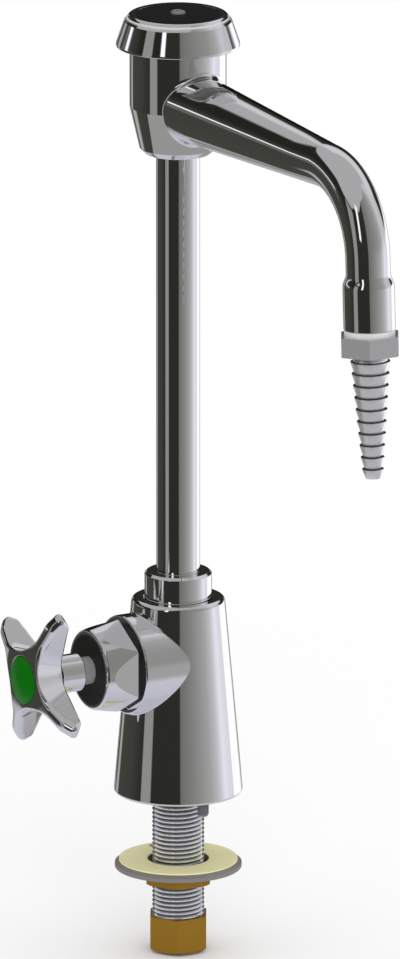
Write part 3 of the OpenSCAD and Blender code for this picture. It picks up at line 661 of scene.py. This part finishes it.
def makeBreakerBody():
    b, low = breaker, tap["breakerZ"]
    hole, holeTop = b["riserHole"], low + b["holeDepth"]
    outline = [(0, holeTop), (hole, holeTop), (hole, low), (b["mouthRadius"], low, 0.4),
               (b["footRadius"], low + b["footRise"], 0.8), (b["radius"], low + b["coneTop"], 3.0),
               (b["radius"], b["top"], 0.5), (b["threadRadius"], b["top"], 0.3),
               (b["threadRadius"], b["ledge"]), (b["chamberRadius"], b["ledge"]),
               (b["chamberRadius"], b["chamberFloor"]), (0, b["chamberFloor"])]
    spans = spansOf(outline, 5)
    start = next(i for i, s in enumerate(spans) if s[0][0] > b["footRadius"] - 1 and s[2][1] - s[0][1] > 10)
    stop = next(i for i, s in enumerate(spans) if s[0][1] > low + b["coneTop"] and s[2][1] > b["top"] - 1)
    branchedPiece("breakerSpout", "spout", "chrome", ["breaker_body"], {
        "outline": outline, "holed": (start, stop + 1), "heading": -pi / 2, "height": tap["armZ"],
        "branchRadius": lambda d: b["rootRadius"] - narrowing * d, "branchSlope": narrowing,
        "fillet": b["fillet"], "reach": 30.0, "joints": 128, "columns": 128, "flatRadius": 19.0,
        "rowStep": 3.0, "margin": 0.6, "rings": spoutRings()})


makeBreakerBody()
print("breaker body and spout made")


# Turned chrome pieces

collar = {"radius": 13.45, "top": 91.0, "chamfer": 1.0, "bore": 8.95, "low": 78.2}
riser = {"radius": 8.7, "bore": 6.2, "low": 67.4, "high": 272.6}
cap = {"rimRadius": 24.55, "shoulderRadius": 21.4, "height": 12.9, "discRadius": 16.5, "discBore": 2.1,
       "discGap": 0.1, "discRise": 0.1, "discRounding": 0.15, "sink": 0.4, "wall": 1.5, "topRise": 2.7,
       "topWall": 2.2, "topInset": 2.2, "ceilingInset": 4.2, "wallInset": 1.9, "wallDrop": 0.8,
       "rimHeight": 1.0}


def makeTurnedChrome():
    c, r, k, top = collar, riser, cap, tap["capTop"]
    turnedPiece("collarRing", "turret", "chrome", ["collar"], [
        (c["bore"], c["low"]), (c["radius"], c["low"]), (c["radius"], c["top"] - c["chamfer"], 0.25),
        (c["radius"] - c["chamfer"], c["top"], 0.25), (c["bore"], c["top"], 0.2), (c["bore"], c["low"])])
    turnedPiece("riserTube", "spout", "chrome", ["riser_pipe"],
                ringOutline(r["bore"], r["radius"], r["low"], r["high"]))
    rim, shoulder, ceiling = top - k["height"], top - k["topRise"], top - k["topWall"]
    inside, seat, floor = k["rimRadius"] - k["wall"], k["discRadius"] + k["discGap"], top - k["sink"]
    wide, band = k["shoulderRadius"], rim + k["rimHeight"]
    turnedPiece("breakerHood", "spout", "chrome", ["breaker_cap"], [
        (inside, rim, 0.2), (k["rimRadius"], rim, 0.35), (k["rimRadius"], band, 0.3), (wide, shoulder, 0.5),
        (wide - k["topInset"], top, 1.6), (seat, top, 0.15), (seat, floor), (0, floor), (0, ceiling),
        (wide - k["ceilingInset"], ceiling), (wide - k["wallInset"], shoulder - k["wallDrop"], 1.0),
        (inside, band), (inside, rim)], material="hood_chrome")


makeTurnedChrome()


# Bonnet, stem and handle, along the valve

def bonnetSpans(angle, middle):
    # Outline of the six-sided cone at each angle: flat sides up to where they meet the turned cone
    b, front, rear, hole = bonnet, bonnet["front"], bonnet["rear"], bonnet["hole"]
    radius, side = hexSide(b["flats"], angle, middle)
    slope = (b["rearRadius"] - b["frontRadius"]) / (front - rear)
    radius = min(radius, b["rearRadius"])
    cone = tuple(Vector((1, slope)).normalized())
    rim = spansOf([(b["frontRadius"] + slope * b["rim"], front - b["rim"]),
                   (b["frontRadius"], front, b["rounding"]), (hole, front)], 8)
    start, floor = rim[1][0], front - b["holeDepth"]
    meet = min(rear + (b["rearRadius"] - radius) / slope, start[1])
    return [((0, rear), (0, -1), (radius, rear), (0, -1)), ((radius, rear), side, (radius, meet), side),
            ((radius, meet), cone, start, cone), *rim[1:], ((hole, front), (-1, 0), (hole, floor), (-1, 0)),
            ((hole, floor), (0, 1), (0, floor), (0, 1))]


# The stem from its foot in the plunger, with the grooves of its two seals, to its end in the handle
stemOutline = [(0, 6.8), (3.6, 6.8), (3.6, 18.3), (6.45, 18.3), (6.45, 20.2), (5.55, 20.2), (5.55, 23.2),
               (4.1, 23.2), (4.1, 24.8), (5.55, 24.8), (5.55, 27.7), (4.1, 27.7), (4.1, 29.3), (5.55, 29.3),
               (5.55, 48), (0, 48)]


def makeBonnet():
    skin = Skin()
    skin.lathe(bonnetSpans, ringAngles(around["bonnet"]), alongValve)
    skin.made("bonnetNut", "turret", "chrome", ["bonnet"], "bonnet_chrome")
    turnedPiece("valveStem", "handle", "chrome", ["stem"], stemOutline, alongValve, "satin_stem")
    turnedPiece("bonnetRing", "turret", "rubber", ["bonnet_gasket"],
                ringOutline(bonnet["ringBore"], bonnet["ringRadius"], turret["bossReach"], bonnet["rear"]),
                alongValve)


makeBonnet()
print("bonnet made")


def wrapField(field, low, high, cell):
    # Quads round the zero level of a distance field, drawn onto it, with its slope as their normals
    crisp, rounds, flattest = 0.02, 6, 0.25
    axes = [np.arange(low[i], high[i] + cell, cell) for i in range(3)]
    inside = field(np.stack(np.meshgrid(*axes, indexing="ij"), -1)) < 0
    halves = (slice(None, -1), slice(1, None))
    corners = sum(inside[i, j, k].astype(int) for i in halves for j in halves for k in halves)
    mixed = (corners > 0) & (corners < 8)
    ids = np.full(mixed.shape, -1)
    ids[mixed] = np.arange(mixed.sum())
    points = np.argwhere(mixed) * cell + cell / 2 + np.array(low)
    faces = []
    for axis in range(3):
        u, v = (axis + 1) % 3, (axis + 2) % 3
        here = np.take(inside, range(inside.shape[axis] - 1), axis)
        there = np.take(inside, range(1, inside.shape[axis]), axis)
        spots = np.argwhere(here != there)
        stepU, stepV = np.eye(3, dtype=int)[u], np.eye(3, dtype=int)[v]
        quad = [ids[tuple((spots - a * stepU - b * stepV).T)] for a, b in ((0, 0), (1, 0), (1, 1), (0, 1))]
        quad = np.stack(quad, 1)
        outward = here[tuple(spots.T)]
        quad[~outward] = quad[~outward][:, ::-1]
        faces.append(quad)

    def slopeAt(p):
        steps = np.eye(3) * crisp
        return np.stack([field(p + s) - field(p - s) for s in steps], -1) / (2 * crisp)

    for _ in range(rounds):
        slope = slopeAt(points)
        away = field(points)[:, None] * slope / np.maximum((slope ** 2).sum(1), flattest)[:, None]
        points = points - np.clip(away, -cell, cell)
    slope = slopeAt(points)
    return points, np.concatenate(faces), slope / np.linalg.norm(slope, axis=1)[:, None]


def softMost(a, b, size):
    # The larger of two distances, with the edge between them rounded
    inner = np.minimum(np.maximum(a, b), -size)
    return inner + np.hypot(np.maximum(a + size, 0), np.maximum(b + size, 0))


def softLeast(a, b, size):
    return -softMost(-a, -b, size)


handle = {"turn": 30.0, "halfWidth": 3.2, "rearValley": 9.3, "frontValley": 18.0, "rear": 57.0,
          "front": 71.0, "skirtRear": 46.0, "skirtFront": 60.0, "skirtRadius": 7.65, "recess": 9.65,
          "recessDepth": 1.0, "endStart": 12, "endLength": 8, "crownStart": 60, "crownLength": 4,
          "boxRadius": 35, "boxRear": 44.5, "boxFront": 73, "cell": 0.45}

# Radii of its rounded edges, the arms' growing by endMore towards their ends
soft = {"side": 0.8, "arm": 1.0, "endMore": 1.9, "skirt": 0.5, "skirtJoint": 1.6, "recess": 0.1, "rim": 0.3}

# Radius and distance along the valve of the arm's outline, and of the button's
armSide = [(0, 57.0), (9.3, 57.0), (30.0, 59.3), (33.3, 62.2), (33.0, 64.2), (28.4, 67.4), (12.4, 71.0),
           (0, 71.0)]
buttonOutline = [(0, 70.0), (9.55, 70.0), (9.55, 71.2, 0.3), (6.6, 72.0, 9), (3.2, 72.6, 9), (0, 72.9)]


def handleField(p):
    h = handle
    turn = radians(h["turn"])
    x, y = p[..., 0], p[..., 1]
    x, y = np.cos(turn) * x - np.sin(turn) * y, np.sin(turn) * x + np.cos(turn) * y
    along, across, u = np.maximum(abs(x), abs(y)), np.minimum(abs(x), abs(y)), p[..., 2]
    rho = np.hypot(x, y)
    height = np.clip((u - h["rear"]) / (h["front"] - h["rear"]), 0, 1)
    valley = h["rearValley"] + (h["frontValley"] - h["rearValley"]) * height
    corner = h["halfWidth"] + valley
    gap = valley - np.hypot(along - corner, across - corner)
    walls = np.where(along > corner, across - h["halfWidth"], gap)
    walls = np.where((across > corner) & (along > corner), across - h["halfWidth"], walls)
    sides = None
    for (r0, z0), (r1, z1) in zip(armSide, armSide[1:]):
        edge = Vector((r1 - r0, z1 - z0)).normalized()
        away = (rho - r0) * edge.y - (u - z0) * edge.x
        sides = away if sides is None else softMost(sides, away, soft["side"])
    nearEnd = np.clip((rho - h["endStart"]) / h["endLength"], 0, 1)
    nearEnd = nearEnd * np.clip((u - h["crownStart"]) / h["crownLength"], 0, 1)
    cross = softMost(walls, sides, soft["arm"] + soft["endMore"] * nearEnd)
    skirt = softMost(rho - h["skirtRadius"], h["skirtRear"] - u, soft["skirt"])
    skirt = softMost(skirt, u - h["skirtFront"], soft["skirt"])
    whole = softLeast(cross, skirt, soft["skirtJoint"])
    recess = softMost(rho - h["recess"], h["front"] - h["recessDepth"] - u, soft["recess"])
    return softMost(whole, -recess, soft["rim"])


def makeHandle():
    h, side = handle, handle["boxRadius"]
    points, faces, slopes = wrapField(handleField, (-side, -side, h["boxRear"]), (side, side, h["boxFront"]),
                                      h["cell"])
    skin = Skin()
    skin.points = [alongValve @ Vector(p) for p in points]
    normals = [alongValve.to_3x3() @ Vector(n) for n in slopes]
    skin.faces = [list(map(int, f)) for f in faces]
    skin.normals = [normals[i] for f in skin.faces for i in f]
    skin.made("crossHandle", "handle", "chrome", ["handle"])
    turnedPiece("indexButton", "handle", "green_button", ["index_button"], buttonOutline, alongValve)


makeHandle()
print("handle made")


# Nozzle, nuts and washers

lockNut = {"flats": 25.4, "z0": -37.8, "z1": -31.6, "lowRadius": 13.7, "highRadius": 13.7, "bore": 10.47}
couplingNut = {"flats": 22.3, "z0": -65.3, "z1": -51.3, "lowRadius": 11.3, "highRadius": 12.9, "bore": 10.47}
baseGasket = {"bore": 11.5, "radius": 23.9}
washers = {"hole": 12.35, "pinHole": 2.0, "pinOffset": 20.1, "steelRadius": 25.4, "steelLow": -31.6,
           "fibreRadius": 23.75, "fibreLow": -28.8, "top": -28.3, "bevel": 1.15}


def treeOf(name, *sizes, whole=()):
    # A tree with its inputs: whole numbers, sizes and the finish
    tree = bpy.data.node_groups.new(name, "GeometryNodeTree")
    inputs = {**dict.fromkeys(whole, "Int"), **dict.fromkeys(sizes, "Float"), "Finish": "Material"}
    for label, kind in inputs.items():
        tree.interface.new_socket(label, in_out="INPUT", socket_type="NodeSocket" + kind)
    tree.interface.new_socket("Geometry", in_out="OUTPUT", socket_type="NodeSocketGeometry")
    graph = Graph(tree)
    start = tree.nodes.new("NodeGroupInput")
    return tree, graph, {label: Wire(graph, start.outputs[label]) for label in inputs}


def closeTree(graph, shape, material):
    shape = graph.node("GeometryNodeRealizeInstances", {"Geometry": shape})
    shape = graph.node("GeometryNodeSetMaterial", {"Geometry": shape, "Material": material})
    graph.node("NodeGroupOutput", {"Geometry": shape})


def grown(name, tree, values):
    # Runs a tree on an empty mesh and returns the plain mesh that it makes
    holder = added(name + "Maker", bpy.data.meshes.new(name + "Maker"))
    modifier = holder.modifiers.new("grow", "NODES")
    modifier.node_group = tree
    for item in tree.interface.items_tree:
        if item.in_out == "INPUT" and item.name in values:
            modifier[item.identifier] = values[item.name]
    mesh = bpy.data.meshes.new_from_object(holder.evaluated_get(bpy.context.evaluated_depsgraph_get()))
    holder.modifiers.clear()
    bpy.data.objects.remove(holder)
    mesh.name = name
    return mesh


def threadTree():
    # A ridge of the thread's own section wound up the axis, on a plain core
    tree, graph, given = treeOf("helixThread", "Radius", "Depth", "Pitch", "Turns")
    root = given["Radius"] - given["Depth"]
    spiral = graph.node("GeometryNodeCurveSpiral", {
        "Resolution": 48, "Rotations": given["Turns"], "Start Radius": root, "End Radius": root,
        "Height": given["Turns"] * given["Pitch"], "Reverse": True})
    spiral = graph.node("GeometryNodeSetCurveNormal", {"Curve": spiral}, mode="Z_UP")

    def spot(x, y):
        return graph.node("ShaderNodeCombineXYZ", {"X": x, "Y": y})

    # Shares of the pitch and the depth for the ridge's half width at its foot and crest, and its sink
    half, crest, sunk = given["Pitch"] * 0.44, given["Pitch"] * 0.09, given["Depth"] * -0.25
    section = graph.node("GeometryNodeCurvePrimitiveQuadrilateral", {
        "Point 1": spot(sunk, half), "Point 2": spot(sunk, half * -1),
        "Point 3": spot(given["Depth"], crest * -1), "Point 4": spot(given["Depth"], crest)}, mode="POINTS")
    ridge = graph.node("GeometryNodeCurveToMesh", {
        "Curve": spiral, "Profile Curve": section, "Fill Caps": True})
    closeTree(graph, ridge, given["Finish"])
    return tree


def makeThread(name, body, slot, node, size, offset, material=None):
    turns = (size["high"] - size["low"]) // size["pitch"] - 1
    sizes = {key.title(): size[key] * mm for key in ("radius", "depth", "pitch")}
    mesh = grown(name, threadTree(), {**sizes, "Turns": turns, "Finish": finishes[material or slot]})
    mesh.transform(Matrix.Translation((0, offset * mm, (size["low"] + size["pitch"] / 2) * mm)))
    mesh.set_sharp_from_angle(angle=radians(35))
    settle(added(name, mesh), body, slot, (), material)
    root, bore = size["radius"] - size["depth"], size["bore"]
    low, high = size["low"], size["high"]
    core = [(bore, low), (root - 0.2, low, 0.3), (root, low + 0.6), (root, high), (bore, high)]
    core += [(bore, low)] if bore else []
    turnedPiece(name + "Core", body, slot, [node], core, Matrix.Translation((0, offset, 0)), material)


makeThread("shankThread", "turret", "chrome", "inlet_shank", threads["shankThread"], 0, "thread_chrome")
makeThread("studThread", "turret", "steel", "locating_stud", threads["studThread"], studOffset, "dark_stud")


def barbTree():
    # A stack of barbs: each starts at a narrow rounded rim, and narrows to the next
    tree, graph, given = treeOf("hoseBarbs", "Pitch", "Length", "First Radius", "Last Radius", "Drop",
                                whole=["Barbs"])
    # Heights of the rim's two edges, how far its foot is cut in, and the step to the next barb, in metres
    rimRise, rimTop, rimCut, gap = 0.00012, 0.00045, 0.00018, 0.00002
    line = graph.node("GeometryNodeMeshLine", {"Count": given["Barbs"] * 4, "Offset": (0, 0, 0)})
    index = graph.node("GeometryNodeInputIndex")
    part = index % 4
    barb = (index - part) / 4

    def isPart(number):
        return graph.maths("COMPARE", part, float(number), 0.1)

    step = (given["First Radius"] - given["Last Radius"]) / (given["Barbs"] - 1)
    rimRadius = given["First Radius"] - barb * step
    height = barb * given["Pitch"] + isPart(1) * rimRise + isPart(2) * rimTop
    height = height + isPart(3) * (given["Pitch"] - gap)
    radius = rimRadius - isPart(0) * rimCut - isPart(3) * given["Drop"]
    height = graph.maths("MINIMUM", height, given["Length"])
    line = graph.node("GeometryNodeSetPosition", {
        "Geometry": line, "Position": graph.node("ShaderNodeCombineXYZ", {"Z": height})})
    curve = graph.node("GeometryNodeMeshToCurve", {"Mesh": line})
    ring = graph.node("GeometryNodeCurvePrimitiveCircle", {
        "Resolution": around["small"], "Radius": 1.0}, mode="RADIUS")
    stack = graph.node("GeometryNodeCurveToMesh", {
        "Curve": curve, "Profile Curve": ring, "Scale": radius, "Fill Caps": True})
    closeTree(graph, stack, given["Finish"])
    return tree


def makeNozzle():
    n = nozzle
    mesh = grown("hoseBarbs", barbTree(), {
        "Barbs": n["barbs"], "Pitch": n["pitch"] * mm, "First Radius": n["firstRadius"] * mm,
        "Length": ((n["barbs"] - 1) * n["pitch"] + n["lastLength"]) * mm,
        "Last Radius": n["lastRadius"] * mm, "Drop": n["drop"] * mm, "Finish": finishes["satin_chrome"]})
    place = alongOutlet @ Matrix.Translation((0, 0, n["barbStart"]))
    mesh.transform(Matrix.Scale(mm, 4) @ place @ Matrix.Scale(1 / mm, 4))
    mesh.shade_smooth()
    mesh.set_sharp_from_angle(angle=radians(30))
    settle(added("hoseBarbs", mesh), "spout", "satin_chrome")
    hexPiece("nozzleHex", "spout", "satin_chrome", ["hose_nozzle"], {
        "flats": n["flats"], "z0": n["hexStart"], "z1": n["hexStart"] + n["hexHeight"],
        "lowRadius": n["hexCorner"], "highRadius": n["hexCorner"], "bore": 0.0}, alongOutlet)
    low, high = n["hexStart"] + n["neckSink"], n["barbStart"] + 0.1
    turnedPiece("nozzleNeck", "spout", "satin_chrome", [], [
        (0, low), (n["neckRadius"], low), (n["neckRadius"], high, 0.1), (0, high)], alongOutlet)
    turnedPiece("outletRing", "spout", "acetal", ["outlet_gasket"], ringOutline(
        n["ringBore"], n["ringRadius"], breaker["outletLength"], n["hexStart"]), alongOutlet)


makeNozzle()
hexPiece("lockNut", "clamp_nut", "brass", ["lock_nut"], lockNut)
hexPiece("couplingNut", "turret", "brass", ["coupling_nut"], couplingNut)


def makeWasher(name, slot, nodes, spans):
    # A flat ring whose two faces also have the pin hole
    w, skin, angles, pinAngles = washers, Skin(), ringAngles(around["plain"]), ringAngles(around["pin"])
    low, high, sliver = spans[0][0][1], spans[-1][2][1], 0.1
    offset = Vector((0, w["pinOffset"]))

    def circle(radius, ring):
        return [Vector((radius * cos(a), radius * sin(a))) for a in ring[:-1]]

    for z, outer, up in ((low, spans[0][0][0], -1), (high, spans[-1][2][0], 1)):
        loops = [circle(outer, angles), circle(w["hole"], angles),
                 [offset + p for p in circle(w["pinHole"], pinAngles)]]
        flat, edges = [], []
        for loop in loops:
            edges += ringEdges(len(flat), len(loop))
            flat += loop
        spots, triangles = triangulated(flat, edges)
        for t, middle in triangles:
            if min(middle.length - w["hole"], (middle - offset).length - w["pinHole"]) > sliver:
                skin.face([(*spots[i], z) for i in t], [(0, 0, up)] * 3)
    skin.lathe(lambda *_: spans, angles)
    for radius, ring, place in ((w["hole"], angles, upright),
                                (w["pinHole"], pinAngles, Matrix.Translation((0, w["pinOffset"], 0)))):
        wall = [((radius, high), (-1, 0), (radius, low), (-1, 0))]
        skin.lathe(lambda *_: wall, ring, place)
    skin.made(name, "clamp_washers", slot, nodes)


w = washers
makeWasher("deckWasher", "steel", ["deck_washer"], spansOf([
    (w["steelRadius"] - 0.2, w["steelLow"]), (w["steelRadius"], w["steelLow"] + 0.2),
    (w["steelRadius"], w["fibreLow"] - w["bevel"]), (w["fibreRadius"], w["fibreLow"])]))
makeWasher("fibreWasher", "fibre", ["fibre_washer"], spansOf([
    (w["fibreRadius"], w["fibreLow"]), (w["fibreRadius"], w["top"])]))
turnedPiece("baseGasket", "turret", "rubber", ["base_gasket"],
            ringOutline(baseGasket["bore"], baseGasket["radius"], 0, turret["gasketDepth"]))
discLow, discTop = tap["capTop"] - cap["sink"], tap["capTop"] + cap["discRise"]
turnedPiece("blackDisc", "spout", "black_disc", ["cap_disc"],
            ringOutline(cap["discBore"], cap["discRadius"], discLow, discTop, cap["discRounding"]))
print("nozzle, nuts and washers made")


# Finish of the solids that stay as they are

slotOf = {s["node"]: s["material_slot"] for s in frame["record"]["subparts"]}
for name, node in frame["nodes"].items():
    if not node.hide_render:
        node.data.materials.clear()
        node.data.materials.append(finishes[slotOf[name]])


# The studio: azimuths in degrees to the right of the camera's own side, brightness as displayed

studio = {"floorZ": -0.0664, "floorSize": 8.0, "lens": 700.0, "viewHeight": 0.381558, "azimuth": -29.486,
          "elevation": 15.172, "aim": (0.007622, -0.004204, 0.128351), "roomTurn": -30.0, "fill": 0.93,
          "lampPower": 0.55, "lampSpread": 40.0, "lampPlace": (-0.45, -1.1, 0.66), "cardStrength": 1.12,
          "screenPower": 2.2, "floorSeen": (0.34, 0.2), "floorTint": (0.6, 0.6, 0.68, 1)}

# Brightness of what lies over the room's walls, and where each fades in, in degrees
tone = {"rightShade": 0.1, "rightShare": 0.18, "farFloor": 0.57, "nearFloor": 0.84, "wallTop": 0.15,
        "ceiling": 0.645}
fade = {"right": (0, 90), "up": (-6, 10), "floor": (3, -3), "nearFloor": (-40, -70), "wallTop": (-26, -12),
        "leftOf": (-24, -34), "ceiling": (-1.5, 1.5)}

# Colour of the light, from dark to bright
lightTint = [(0, (1, 1, 0.76)), (0.45, (1, 1, 0.93)), (0.62, (1, 1, 1)), (0.92, (0.94, 0.94, 1.05)),
             (1, (1, 1, 1))]

# Brightness of the room from left to right, level with the tap
room = [(-180, 0.66), (-163, 0.68), (-156, 0.26), (-134, 0.26), (-95, 0.24), (-69, 0.18), (3.5, 0.18),
        (5, 0.42), (30, 0.50), (62, 0.62), (80, 0.74), (95, 0.91), (110, 0.86), (118, 0.85), (180, 0.66)]

# Height of the ceiling's edge above the tap, in degrees
ceilingEdge = [(-180, 22), (-170, 25), (-158, 31), (-145, 34), (-84, 34), (-72, 27), (-50, 28), (-42, 33),
               (-18, 38), (8, 56), (60, 63), (102, 62), (114, 44), (126, 26), (180, 30)]

# Depth of the floor's far edge below the tap, in degrees
floorEdge = [(-180, 52), (-140, 42), (-92, 40), (-82, 28), (-66, 22), (0, 25), (180, 25)]

# Cards that hang in the room: azimuth, half width, lowest and highest elevation, brightness, softness
cards = {
    "leftStrip": (-142, 6, -24, 12, 0.62, 2.5),
    "frontStrip": (-60, 10, -26, 25, 0.54, 1.5),
    "armLine": (-110, 16, 6.5, 9, 1.0, 0.7),
    "armBand": (-110, 16, 0, 6, 0.38, 1),
    "underStrip": (-133, 8, -26, -20, 0.66, 2),
    "lowStrip": (-157, 11, -42, -30, 0.66, 3),
    "window": (-29, 4.5, 8, 42, 1.0, 1.5),
    "rightGlow": (152, 44, 26, 52, 0.79, 5),
    "rightDark": (152, 30, 3, 25, 0.18, 3),
    "rightStrip": (137, 18, -30, 1, 1.0, 2),
    "rearFlag": (180, 13, -19, 11.5, 0.10, 2),
}


def makeWorld():
    s = studio
    world = bpy.data.worlds.new("studio")
    bpy.context.scene.world = world
    world.use_nodes = True
    world.node_tree.nodes.clear()
    graph = Graph(world.node_tree)
    way = graph.node("ShaderNodeTexCoord", output="Generated")
    way = graph.node("ShaderNodeVectorRotate", {"Vector": way, "Angle": radians(90 - s["roomTurn"])},
                     rotation_type="Z_AXIS")
    x, y, z = graph.split(way)
    degrees = 180 / pi
    azimuth = graph.maths("ARCTAN2", y, x) * degrees
    height = graph.maths("ARCSINE", z) * degrees

    def level(stops, scale=1.0):
        stops = [((a + 180) / 360, [v / scale] * 3) for a, v in stops]
        return graph.node("ShaderNodeValToRGB", {"Fac": azimuth / 360 + 0.5}, stops=stops) * scale

    def step(value, low, high):
        return graph.ramp(value, low, high, "SMOOTHSTEP")

    def over(under, share, grey):
        return under + share * (grey - under)

    shade = level(room)
    right = step(azimuth, *fade["right"]) * step(height, *fade["up"])
    shade = over(shade, right * tone["rightShare"], tone["rightShade"])
    underEdge = height + level(floorEdge, 90)
    ground = over(tone["farFloor"], step(height, *fade["nearFloor"]), tone["nearFloor"])
    shade = over(shade, step(underEdge, *fade["floor"]), ground)
    overEdge = height - level(ceilingEdge, 90)
    top = step(overEdge, *fade["wallTop"]) * step(azimuth, *fade["leftOf"])
    shade = over(shade, top, tone["wallTop"])
    shade = over(shade, step(overEdge, *fade["ceiling"]), tone["ceiling"])
    for centre, half, low, high, grey, soft in cards.values():
        away = graph.maths("ABSOLUTE", graph.maths("WRAP", azimuth - centre, 180.0, -180.0))
        inside = step(away, half + soft, half - soft) * step(height, low - soft, low + soft)
        shade = over(shade, inside * step(height, high + soft, high - soft), grey)

    tint = graph.node("ShaderNodeValToRGB", {"Fac": shade}, stops=lightTint)
    glow = graph.maths("POWER", shade, s["screenPower"]) * s["cardStrength"]
    cardLight = graph.node("ShaderNodeBackground", {"Color": tint, "Strength": glow})
    fill = graph.node("ShaderNodeBackground", {"Color": (1, 1, 1, 1), "Strength": s["fill"]})
    white = graph.node("ShaderNodeBackground", {"Color": (1, 1, 1, 1), "Strength": 1.0})
    glossy = graph.node("ShaderNodeLightPath", output="Is Glossy Ray")
    seen = graph.node("ShaderNodeLightPath", output="Is Camera Ray")
    seen = seen + graph.node("ShaderNodeLightPath", output="Is Transmission Ray")
    light = graph.node("ShaderNodeMixShader", {0: glossy, 1: fill, 2: cardLight})
    light = graph.node("ShaderNodeMixShader", {0: seen, 1: light, 2: white})
    graph.node("ShaderNodeOutputWorld", {"Surface": light})


def makeStudio():
    s = studio
    half = s["floorSize"] / 2
    mesh = bpy.data.meshes.new("floor")
    corners = [(-half, -half), (half, -half), (half, half), (-half, half)]
    mesh.from_pydata([(*corner, s["floorZ"]) for corner in corners], [], [(0, 1, 2, 3)])
    added("floor", mesh)

    def floorSurface(graph, place):
        # The metal reflects the floor near the tap, and the room's cards past that
        glossy = graph.node("ShaderNodeLightPath", output="Is Glossy Ray")
        near = graph.ramp(graph.size(place), *s["floorSeen"], "SMOOTHSTEP")
        pale = graph.node("ShaderNodeBsdfDiffuse", {
            "Color": graph.blend(glossy, (1, 1, 1, 1), s["floorTint"])})
        clear = graph.node("ShaderNodeBsdfTransparent")
        return graph.node("ShaderNodeMixShader", {0: 1 - glossy * (1 - near), 1: clear, 2: pale})

    mesh.materials.append(finish("paleFloor", floorSurface))
    lampData = bpy.data.lights.new("softLamp", "SUN")
    lampData.energy, lampData.angle = s["lampPower"], radians(s["lampSpread"])
    lamp = added("softLamp", lampData)
    lamp.location = s["lampPlace"]
    lamp.rotation_euler = (Vector(s["aim"]) - Vector(s["lampPlace"])).to_track_quat("-Z", "Y").to_euler()
    lamp.visible_glossy = False


def makeCamera():
    s = studio
    data = bpy.data.cameras.new("camera")
    data.lens, data.sensor_width = s["lens"], 36
    data.clip_start, data.clip_end = 0.1, 60
    camera = added("camera", data)
    a, e = radians(s["azimuth"]), radians(s["elevation"])
    back = Vector((sin(a) * cos(e), -cos(a) * cos(e), sin(e)))
    camera.location = Vector(s["aim"]) + back * (s["lens"] * s["viewHeight"] / data.sensor_width)
    camera.rotation_euler = (-back).to_track_quat("-Z", "Y").to_euler()
    bpy.context.scene.camera = camera


makeWorld()
makeStudio()
makeCamera()
bpy.context.scene.view_settings.view_transform = "Standard"
print("studio made")
